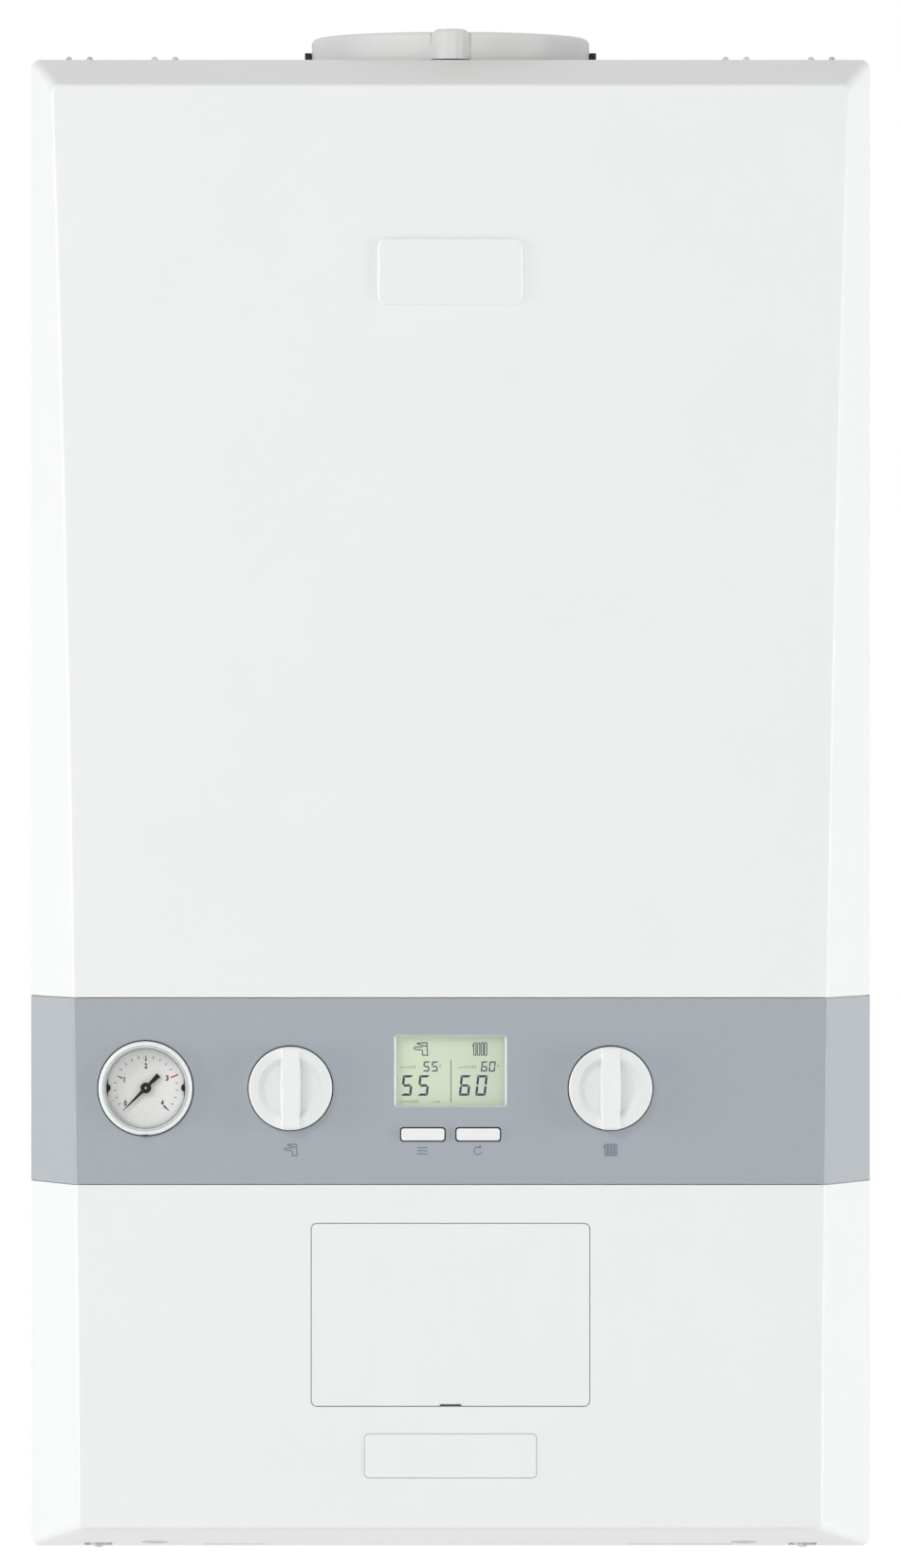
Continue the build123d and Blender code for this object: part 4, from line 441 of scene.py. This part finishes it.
# %% [markdown]
# The dial is a painted disc. The display is a pale green glass in a black frame: both are one
# solid in the model, so the colour asks how far out from the wall a point lies. Across the
# glass the green runs from paler on the left to deeper on the right, as in the photograph, and
# a weak glow of the same green stands for the light behind the liquid crystal. The glow is also
# painted light: it lifts the shade that the window's frame casts on the glass.

# %% Dial and display
FRAME_D = 271.8
GLASS_REACH = 28.0
dial, shader = new_finish("dial_white", 0.5)
fleck = grain(dial, 900.0, 3.0)
tint(dial, shader, fleck, paint(246, 246, 245), paint(250, 250, 249))
relief(dial, shader, fleck, 0.01, 0.2)
glass, shader = new_finish("display_glass", 0.3)
tree = glass.node_tree
place = tree.nodes.new("ShaderNodeTexCoord")
parts = add_node(tree, "SeparateXYZ", {0: place.outputs["Object"]})
across = add_node(tree, "MapRange", {
    "Value": parts.outputs["X"], "From Min": -GLASS_REACH * MM, "From Max": GLASS_REACH * MM})
cloud = grain(glass, 90.0, 2.0)
drift = calculate(tree, "MULTIPLY_ADD", cloud, 0.35, across.outputs[0])
green = tint(glass, shader, drift, paint(182, 191, 168), paint(172, 181, 164), 0.1, 1.2)
is_glass = calculate(tree, "LESS_THAN", parts.outputs["Y"], -FRAME_D * MM)
colour = blend_colours(tree, is_glass, paint(30, 32, 34), green)
# The glow is the backlight and also painted light, which lifts the frame's shade off the glass.
backlight_and_painted_light = blend_colours(tree, is_glass, paint(0, 0, 0), green)
tree.links.new(colour, shader.inputs["Base Color"])
tree.links.new(backlight_and_painted_light, shader.inputs["Emission Color"])
shader.inputs["Emission Strength"].default_value = 0.6
print("dial_white, display_glass")

# %% [markdown]
# The lenses are clear plastic. A refracting glass shader would throw a dark shadow on the dial,
# because its light would have to be found as caustics. A thin window does better: mostly
# transparent, with a mirror-like share that grows towards its edges, which Fresnel gives. The
# share counts on the outer face only, or the light would be thrown back inside the lens.

# %% Clear lenses
CLEARNESS = 0.995
clear_lens = bpy.data.materials.new("clear_lens")
FINISH["clear_lens"] = clear_lens
tree = empty_tree(clear_lens)
through = add_node(tree, "BsdfTransparent", {"Color": (CLEARNESS, CLEARNESS, CLEARNESS, 1)})
mirror = add_node(tree, "BsdfGlossy", {"Roughness": 0.04})
share = add_node(tree, "Fresnel", {"IOR": 1.2})
face = tree.nodes.new("ShaderNodeNewGeometry")
outside = calculate(tree, "SUBTRACT", 1.0, face.outputs["Backfacing"])
shown = calculate(tree, "MULTIPLY", share.outputs[0], outside)
window = blend_shaders(tree, shown, through.outputs[0], mirror.outputs[0])
add_node(tree, "OutputMaterial", {"Surface": window})
print("clear_lens")

# %% [markdown]
# Each solid comes with a placeholder material named after its slot, so dressing the whole
# boiler is one short loop.

# %% Dress the solids
for name, obj in sorted(NODES.items()):
    for held in obj.material_slots:
        held.material = FINISH[held.material.name.split(".")[0]]
    print(name, [held.material.name for held in obj.material_slots])

# %% [markdown]
# ## Printed marks
# What is printed on the object is a film of ink a few hundredths of a millimetre thick. It could
# be a picture, but an image would need its own map on every face; a mesh of thin bars stays
# sharp from any distance. One helper lays a bar, another a round dot, and a third runs bars and
# dots through a list of points to draw a line. Where two of them cross, one lies a few microns
# higher, or the render couldn't tell which to show.

# %% Helpers for ink
INK = 0.06
LIFT = 0.004
DOT_LIFT = 0.018


def add_bar(bm, x, h, length, width, d, turn=0.0, end_width=None, thickness=INK):
    """A bar of ink on the face at depth d; one end can be narrower than the other."""
    corners = bmesh.ops.create_cube(bm, size=1.0)["verts"]
    bmesh.ops.scale(bm, verts=corners, vec=Vector((length, thickness, width)) * MM)
    if end_width is not None:
        far = [v for v in corners if v.co.x > 0]
        bmesh.ops.scale(bm, verts=far, vec=(1, 1, end_width / width))
    bmesh.ops.rotate(bm, verts=corners, matrix=Matrix.Rotation(-math.radians(turn), 3, "Y"))
    bmesh.ops.translate(bm, verts=corners, vec=spot(x, d + INK / 3, h))


def add_dot(bm, x, h, radius, d, segments=10):
    """A round dot of ink."""
    disc = bmesh.ops.create_cone(
        bm, cap_ends=True, segments=segments, radius1=radius * MM, radius2=radius * MM,
        depth=INK * MM)["verts"]
    bmesh.ops.rotate(bm, verts=disc, matrix=Matrix.Rotation(math.radians(90), 3, "X"))
    bmesh.ops.translate(bm, verts=disc, vec=spot(x, d + INK / 3, h))


def add_line(bm, points, width, d, closed=True):
    """A line of ink of even width through points, with a dot on each of them."""
    ends = points[1:] + points[:1] if closed else points[1:]
    for step, ((x0, h0), (x1, h1)) in enumerate(zip(points, ends)):
        length = math.hypot(x1 - x0, h1 - h0)
        turn = math.degrees(math.atan2(h1 - h0, x1 - x0))
        add_bar(bm, (x0 + x1) / 2, (h0 + h1) / 2, length, width, d + LIFT * (step % 4), turn)
    for step, (x, h) in enumerate(points):
        add_dot(bm, x, h, width / 2, d + DOT_LIFT + LIFT * (step % 3))


def finish_piece(name, bm, material, body):
    """Makes the bmesh an object that moves with one of the model's bodies."""
    mesh = bpy.data.meshes.new(name)
    bmesh.ops.recalc_face_normals(bm, faces=bm.faces)
    bm.to_mesh(mesh)
    bm.free()
    mesh.materials.append(material)
    piece = bpy.data.objects.new(name, mesh)
    bpy.context.collection.objects.link(piece)
    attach(piece, body)
    print(name, len(mesh.polygons), "faces, on", body)


def ink(name, red, green, blue):
    """A matt ink, its film a little uneven."""
    material, shader = new_finish(name, 0.5)
    film = grain(material, 1800.0, 3.0)
    thick, thin = ([c + change for c in (red, green, blue)] for change in (-4, 5))
    tint(material, shader, film, paint(*thick), paint(*thin))
    return material


black_ink = ink("black_ink", 22, 22, 24)
grey_ink = ink("grey_ink", 96, 98, 102)
green_ink = ink("green_ink", 28, 140, 96)
red_ink = ink("red_ink", 196, 44, 62)
print("ink helpers ready")

# %% [markdown]
# ## The gauge's scale
# The dial reads 0 to 4: zero lies at lower left and the scale runs clockwise through 270
# degrees, in steps of a fifth. Two green wedges mark the working range and a red bar the limit.
# All of it is placed by angle and radius round the pointer's shaft, as a dial maker would.

# %% The scale
GAUGE = (-142.0, 217.1)
DIAL_D = 269.0
ZERO_ANGLE = 225.0
ANGLE_PER_UNIT = 270.0 / 4
TICK = {"inner": 13.8, "outer": 15.1, "width": 0.34}


def on_circle(middle, radius, angle):
    """The point of a circle at an angle in degrees, anticlockwise from the right."""
    turn = math.radians(angle)
    return middle[0] + radius * math.cos(turn), middle[1] + radius * math.sin(turn)


def add_mark(bm, value, inner, outer, width, end_width=None):
    """A bar on the dial at a reading, from one radius to another."""
    angle = ZERO_ANGLE - value * ANGLE_PER_UNIT
    x, h = on_circle(GAUGE, (inner + outer) / 2, angle)
    add_bar(bm, x, h, outer - inner, width, DIAL_D, angle, end_width)


ticks = bmesh.new()
for step in range(21):
    if step % 5:
        add_mark(ticks, step / 5, **TICK)
finish_piece("dial_ticks", ticks, grey_ink, "casing")
wedges = bmesh.new()
add_mark(wedges, 1, inner=12.0, outer=14.8, width=0.95, end_width=0.2)
add_mark(wedges, 2, inner=12.5, outer=15.2, width=0.95, end_width=0.2)
finish_piece("dial_green_wedges", wedges, green_ink, "casing")
limit = bmesh.new()
add_mark(limit, 3, inner=12.5, outer=16.4, width=0.68)
finish_piece("dial_red_bar", limit, red_ink, "casing")
last = bmesh.new()
add_mark(last, 4, inner=11.9, outer=15.2, width=1.0, end_width=0.25)
add_mark(last, 0, **TICK)
finish_piece("dial_end_marks", last, black_ink, "casing")

# %% [markdown]
# The numerals are plain narrow figures. Drawing them stroke by stroke would be slow; Blender's
# own font gives them, turned into a mesh, stood upright and squeezed to the width that a small
# dial leaves. The 1 is drawn instead: stretched to the others' width, its one stroke would grow
# far too wide.

# %% The numerals
NUMERAL_W, NUMERAL_H = 1.35, 2.6


def add_numeral(bm, text, x, h, d):
    """A figure centred at x and h, made from the built-in font."""
    curve = bpy.data.curves.new("numeral", "FONT")
    curve.body = text
    curve.size = 1.0
    curve.extrude = 0.02
    curve.offset = 0.04
    holder = bpy.data.objects.new("numeral", curve)
    bpy.context.collection.objects.link(holder)
    graph = bpy.context.evaluated_depsgraph_get()
    mesh = bpy.data.meshes.new_from_object(holder.evaluated_get(graph))
    bpy.data.objects.remove(holder)
    figure = bmesh.new()
    figure.from_mesh(mesh)
    xs = [v.co.x for v in figure.verts]
    hs = [v.co.y for v in figure.verts]
    middle = Vector(((min(xs) + max(xs)) / 2, (min(hs) + max(hs)) / 2, 0))
    bmesh.ops.translate(figure, verts=figure.verts, vec=-middle)
    size = (NUMERAL_W / (max(xs) - min(xs)), NUMERAL_H / (max(hs) - min(hs)), 1)
    bmesh.ops.scale(figure, verts=figure.verts, vec=Vector(size) * MM)
    bmesh.ops.rotate(figure, verts=figure.verts, matrix=Matrix.Rotation(math.radians(90), 3, "X"))
    bmesh.ops.translate(figure, verts=figure.verts, vec=spot(x, d + INK / 3, h))
    figure.to_mesh(mesh)
    figure.free()
    bm.from_mesh(mesh)
    bpy.data.meshes.remove(mesh)


numerals = bmesh.new()
places = {"0": (11.9, 216.6), "1": (10.7, 159.7), "2": (10.3, 90), "3": (10.9, 24.8),
          "4": (10.3, -42)}
for text, (radius, angle) in places.items():
    x, h = on_circle(GAUGE, radius, angle)
    if text == "1":
        add_bar(numerals, x, h, length=NUMERAL_H, width=0.42, d=DIAL_D, turn=90)
        add_bar(numerals, x - 0.3, h + 0.95, length=0.75, width=0.34, d=DIAL_D, turn=40)
    else:
        add_numeral(numerals, text, x, h, DIAL_D)
finish_piece("dial_numerals", numerals, black_ink, "casing")

# %% [markdown]
# A few small things complete the gauge. The ring's inner border is a film whose grey-blue is
# painted shade, standing for the shade on the ring's inner slope. It is a shallow cone: a short
# profile spun once round the gauge's axis. A fine grey ring of painted shade, standing for the
# shade in a groove, parts it from the lens, and a white lining runs from the lens down to the
# dial's clips and throws light on the dial. The pointer turns on a brass pin, whose round head
# shows in the black hub. A dark tab marks the ring's foot.

# %% Painted-shade border and groove, lining and pin
RING_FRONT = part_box("gauge_bezel")[0].y / -MM
LENS_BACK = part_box("gauge_lens")[1].y / -MM
HUB_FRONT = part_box("gauge_pointer")[0].y / -MM
CLIP_FRONT = DIAL_D + 1.1


def spin_profile(bm, profile, x, h, segments=96):
    """Turns a closed profile of (radius, depth) points round an axis to the front."""
    corners = [bm.verts.new(spot(x + r, d, h)) for r, d in profile]
    edges = [bm.edges.new(pair) for pair in zip(corners, corners[1:] + corners[:1])]
    bmesh.ops.spin(
        bm, geom=corners + edges, cent=spot(x, 0, h), axis=(0, 1, 0), angle=math.tau,
        steps=segments, use_merge=True)
    bmesh.ops.remove_doubles(bm, verts=bm.verts, dist=1e-6)


# The border's grey-blue is painted shade of the ring's inner slope.
ring_shade_finish, shader = new_finish("ring_painted_shade", 0.32)
turned = grain(ring_shade_finish, 700.0, 3.0)
tint(ring_shade_finish, shader, turned, paint(190, 196, 201), paint(200, 206, 211))
border = bmesh.new()
spin_profile(border, [
    (18.7, RING_FRONT + 0.02), (20.0, RING_FRONT + 0.2), (20.15, RING_FRONT + 0.1),
    (20.15, RING_FRONT - 0.1), (18.7, RING_FRONT - 0.1)], *GAUGE)
finish_piece("gauge_ring_border", border, ring_shade_finish, "casing")
lining = bmesh.new()
spin_profile(lining, [
    (18.44, LENS_BACK - 0.05), (18.44, CLIP_FRONT), (18.4, CLIP_FRONT),
    (18.4, LENS_BACK - 0.05)], *GAUGE)
finish_piece("gauge_ring_lining", lining, white, "casing")
pin = bmesh.new()
spin_profile(pin, [
    (0.02, HUB_FRONT + 0.25), (0.35, HUB_FRONT + 0.2), (0.6, HUB_FRONT + 0.05),
    (0.6, HUB_FRONT - 0.1), (0.02, HUB_FRONT - 0.1)], *GAUGE, segments=24)
finish_piece("pointer_pin", pin, brass, "gauge_pointer")
# The grey groove ring is painted shade.
groove_shade = bmesh.new()
spin_profile(groove_shade, [
    (18.46, RING_FRONT - 0.45), (18.7, RING_FRONT + 0.03), (18.85, RING_FRONT + 0.03),
    (18.85, RING_FRONT - 0.45)], *GAUGE)
finish_piece("gauge_ring_groove_shade", groove_shade, grey_ink, "casing")
tab = bmesh.new()
add_bar(tab, GAUGE[0], 195.1, length=3.4, width=0.45, d=RING_FRONT - 0.7, thickness=0.96)
finish_piece("gauge_ring_mark", tab, black_ink, "casing")

# %% [markdown]
# ## The display
# A liquid crystal shows seven-bar figures: every figure is some of the same seven bars, leaning
# a little. The bars are mitred where they meet and leave a hair's gap, so each is drawn as an
# outline and given its thickness by an extrude. The outlines follow from the figure's width,
# height and stroke.

# %% Figures of seven bars
GLASS_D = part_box("display_module")[0].y / -MM
MISSING = {"0": ["middle"], "5": ["upper_right", "lower_left"], "6": ["upper_right"]}
LEAN = 0.106
BIG = {"w": 4.9, "h": 9.6, "s": 1.08, "gap": 0.13}
SMALL = {"w": 2.94, "h": 4.77, "s": 0.62, "gap": 0.07}


def add_tile(bm, outline, d):
    """A flat tile of ink from the points round it."""
    corners = [bm.verts.new(spot(x, d - INK / 3, h)) for x, h in outline]
    face = bm.faces.new(corners)
    made = bmesh.ops.extrude_face_region(bm, geom=[face])["geom"]
    front = [v for v in made if isinstance(v, bmesh.types.BMVert)]
    bmesh.ops.translate(bm, verts=front, vec=(0, -INK * MM, 0))


def bar_outlines(w, h, s, gap):
    """The outlines of the seven bars of a figure w wide and h high, with strokes s."""
    top = [(gap, h), (w - gap, h), (w - s - gap, h - s), (s + gap, h - s)]
    side = [(0, h - gap), (s, h - s - gap), (s, (h + s) / 2 + gap), (s / 2, h / 2 + gap),
            (0, (h + s) / 2 + gap)]
    middle = [(s / 2 + gap, h / 2), (s + gap, (h + s) / 2), (w - s - gap, (h + s) / 2),
              (w - s / 2 - gap, h / 2), (w - s - gap, (h - s) / 2), (s + gap, (h - s) / 2)]
    return {
        "top": top, "low": [(x, h - y) for x, y in top], "middle": middle,
        "upper_left": side, "upper_right": [(w - x, y) for x, y in side],
        "lower_left": [(x, h - y) for x, y in side],
        "lower_right": [(w - x, h - y) for x, y in side]}


def add_number(bm, text, left, low, pitch, size):
    """Seven-bar figures in a row, the first one's lower left corner at left and low."""
    for place, figure in enumerate(text):
        for bar, outline in bar_outlines(**size).items():
            if bar not in MISSING[figure]:
                start = left + place * pitch
                add_tile(bm, [(start + x + LEAN * y, low + y) for x, y in outline], GLASS_D)


navy_ink = ink("display_navy", 44, 58, 92)
slate_ink = ink("display_slate", 86, 96, 106)
figures = bmesh.new()
add_number(figures, "55", left=-23.16, low=213.48, pitch=7.68, size=BIG)
add_number(figures, "60", left=3.81, low=213.48, pitch=7.65, size=BIG)
add_number(figures, "55", left=-12.94, low=224.73, pitch=3.88, size=SMALL)
add_number(figures, "60", left=14.03, low=224.73, pitch=3.68, size=SMALL)
finish_piece("display_figures", figures, navy_ink, "casing")

# %% [markdown]
# A thin upright rule parts the two halves of the display, and a tiny ring after each small
# number says that it is a temperature.

# %% Rule and degree rings
rule = bmesh.new()
add_bar(rule, 0.22, 220.4, length=20.0, width=0.33, d=GLASS_D, turn=90)
for x in (-4.77, 22.1):
    add_line(rule, [on_circle((x, 227.5), 0.4, 36 * k) for k in range(10)], 0.16, GLASS_D)
finish_piece("display_rule", rule, slate_ink, "casing")

# %% [markdown]
# Small faint marks fill the display's corners. They are level bars: short upright strokes, each
# a little taller than the last, that say how far a setting is turned up.

# %% Level bars
LEVEL_PITCH = 1.25
LEVEL_W = 0.5
faint_ink = ink("display_faint", 158, 169, 152)
levels = bmesh.new()
for left, foot, count in (
        (-22.9, 226.3, 6), (4.0, 226.3, 7), (-22.9, 210.2, 7), (-7.9, 210.2, 3)):
    for step in range(count):
        tall = 0.75 + 0.12 * step
        add_bar(levels, left + LEVEL_PITCH * step, foot + tall / 2, tall, LEVEL_W, GLASS_D, 90)
finish_piece("display_levels", levels, faint_ink, "casing")

# %% [markdown]
# The pictograms come from a few points each, in millimetres round their middle. The same tap
# and radiator stand on the display and, a little smaller, under the two dials on the band. The
# tap's two outlines share an edge, so each outline lies half a lift over the one before.

# %% Pictograms
TAP = [
    [(-3.15, 0.45), (-2.66, 0.94), (0.45, 0.94), (0.98, 1.43), (2.94, 1.43), (3.27, -2.9),
     (0.86, -2.9), (0.86, -0.94), (0.37, -0.37), (-2.66, -0.25)],
    [(-1.59, 2.57), (-1.35, 2.78), (2.86, 2.9), (2.94, 1.43), (0.98, 1.43), (0.53, 1.84),
     (-1.35, 2.25)],
]


def column(x):
    """The outline of one of the radiator's columns."""
    return [(x - 0.52, -2.6), (x - 0.25, -2.95), (x + 0.25, -2.95), (x + 0.52, -2.6),
            (x + 0.52, 2.55), (x + 0.25, 2.9), (x - 0.25, 2.9), (x - 0.52, 2.55)]


RADIATOR = [column(x) for x in (-2.21, -0.49, 1.23, 2.78)]
RADIATOR.append([(-3.25, 1.3), (-2.73, 1.3), (-2.73, 1.72), (-3.25, 1.72)])


def add_pictogram(bm, outlines, x, h, size, stroke, d):
    """Closed outlines, scaled and drawn round a middle."""
    for order, outline in enumerate(outlines):
        line = [(x + size * px, h + size * ph) for px, ph in outline]
        add_line(bm, line, stroke, d + LIFT / 2 * order)


signs = bmesh.new()
add_pictogram(signs, TAP, -13.89, 235.28, size=1.0, stroke=0.5, d=GLASS_D)
add_pictogram(signs, RADIATOR, 13.58, 235.28, size=1.0, stroke=0.46, d=GLASS_D)
finish_piece("display_pictograms", signs, slate_ink, "casing")

# %% [markdown]
# Under each button stands a small sign: three lines for the list of modes, and a round arrow for
# starting again. They are printed on the band, like the signs of the dials, so they come off
# with the cover.

# %% Signs on the band
DIAL_SIGN_X, DIAL_SIGN_H = 74.4, 188.4
BUTTON_SIGN_H = 188.0
band_ink = ink("band_ink", 112, 121, 135)
signs = bmesh.new()
add_pictogram(signs, TAP, -DIAL_SIGN_X, DIAL_SIGN_H, size=0.92, stroke=0.48, d=FRONT_D)
add_pictogram(signs, RADIATOR, DIAL_SIGN_X, DIAL_SIGN_H, size=0.92, stroke=0.44, d=FRONT_D)
for h in (BUTTON_SIGN_H - 1.4, BUTTON_SIGN_H, BUTTON_SIGN_H + 1.4):
    add_line(signs, [(-15.3, h), (-10.8, h)], 0.5, FRONT_D, closed=False)
arrow = [on_circle((12.8, BUTTON_SIGN_H), 1.8, 50 + 20 * k) for k in range(15)]
add_line(signs, arrow, 0.45, FRONT_D, closed=False)
tip_x, tip_h = arrow[0]
barbs = [(tip_x - 1.25, tip_h + 0.15), (tip_x, tip_h), (tip_x - 0.1, tip_h + 1.25)]
add_line(signs, barbs, 0.42, FRONT_D, closed=False)
finish_piece("band_signs", signs, band_ink, "front_cover")

# %% [markdown]
# The window's opening has a bright bevel, and a fine grey joint runs round the lower blank
# plate. Both are frames with round corners, so one helper makes them: the corners of a single
# face are bevelled, an inset makes the frame, and pushing the inset back tilts it so that it
# catches the light. A thin wall closes it.

# %% The window's bevel and the plate's joint
FRAME_WALL = 0.05


def add_frame(bm, x, h, width, height, radius, rim, d, tilt):
    """A frame with round corners: rim wide, its inner edge pushed back by tilt."""
    bmesh.ops.create_grid(bm, x_segments=1, y_segments=1, size=0.5)
    bmesh.ops.scale(bm, verts=bm.verts, vec=Vector((width, height, 1)) * MM)
    bmesh.ops.rotate(bm, verts=bm.verts, matrix=Matrix.Rotation(math.radians(90), 3, "X"))
    bmesh.ops.translate(bm, verts=bm.verts, vec=spot(x, d, h))
    bmesh.ops.bevel(
        bm, geom=bm.verts[:], offset=radius * MM, affect="VERTICES", segments=6, profile=0.5,
        material=-1)
    middle = bm.faces[:]
    bmesh.ops.inset_region(
        bm, faces=middle, thickness=rim * MM, depth=-tilt * MM, use_boundary=True,
        use_even_offset=True)
    bmesh.ops.delete(bm, geom=middle, context="FACES")
    bmesh.ops.solidify(bm, geom=bm.faces[:], thickness=FRAME_WALL * MM)


rim_finish, shader = new_finish("window_rim", 0.3)
fine = grain(rim_finish, 900.0, 2.0)
tint(rim_finish, shader, fine, paint(188, 193, 197), paint(197, 202, 206))
bevelled = bmesh.new()
add_frame(bevelled, 0, 225.15, width=52.5, height=34.0, radius=1.75, rim=0.9,
          d=FRONT_D - 0.05, tilt=0.7)
finish_piece("window_rim", bevelled, rim_finish, "front_cover")
joint_line = ink("joint_line", 176, 178, 179)
joint = bmesh.new()
add_frame(joint, 0, 45.9, width=80.4, height=20.9, radius=2.2, rim=0.4,
          d=FRONT_D + 0.06, tilt=0.0)
finish_piece("plate_joint", joint, joint_line, "front_cover")

# %% [markdown]
# The timer cover hangs a hair high in its opening, so the joint under it is the darkest of the
# four, and the notch for a fingernail in its lower edge lies in shade. A strip of shade in the
# joint and a tile in the notch give both.

# %% Shade under the timer cover
TIMER_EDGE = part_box("timer_cover")[0].z / MM + FIXING_H
shade_ink = ink("shade_ink", 62, 64, 66)
shade = bmesh.new()
add_bar(shade, 0, TIMER_EDGE - 0.2, length=124.0, width=0.34, d=FRONT_D - 0.5)
add_bar(shade, 0, TIMER_EDGE + 0.35, length=9.6, width=0.6, d=FRONT_D - 0.97)
finish_piece("timer_shade", shade, shade_ink, "front_cover")

# %% [markdown]
# Two drain holes in the bottom border are closed by plugs, almost flush, so that they read as
# faint grey discs. Their grey is painted shade, standing for the shade inside the holes. Each is
# a round disc with a bevelled edge, tilted to lie along the border.

# %% Drain plugs
BORDER_TILT = math.atan2(11.6, 70.0)
PLUG_R = 6.0
PLUG_THICK = 1.0
PLUG_D, PLUG_H = 223.7, 3.45
# The plugs' grey is painted shade of the holes.
plug_painted_shade = ink("plug_painted_shade", 205, 204, 202)
plugs = bmesh.new()
for x in (-139.0, 137.5):
    disc = bmesh.ops.create_cone(
        plugs, cap_ends=True, segments=48, radius1=PLUG_R * MM, radius2=PLUG_R * MM,
        depth=PLUG_THICK * MM)["verts"]
    lower = {v for v in disc if v.co.z < 0}
    rim = [e for e in plugs.edges if set(e.verts) <= lower]
    bmesh.ops.rotate(plugs, verts=disc, matrix=Matrix.Rotation(-BORDER_TILT, 3, "X"))
    bmesh.ops.translate(plugs, verts=disc, vec=spot(x, PLUG_D, PLUG_H))
    bmesh.ops.bevel(
        plugs, geom=rim, offset=0.3 * MM, affect="EDGES", segments=2, profile=0.5, material=-1)
finish_piece("drain_plugs", plugs, plug_painted_shade, "front_cover")
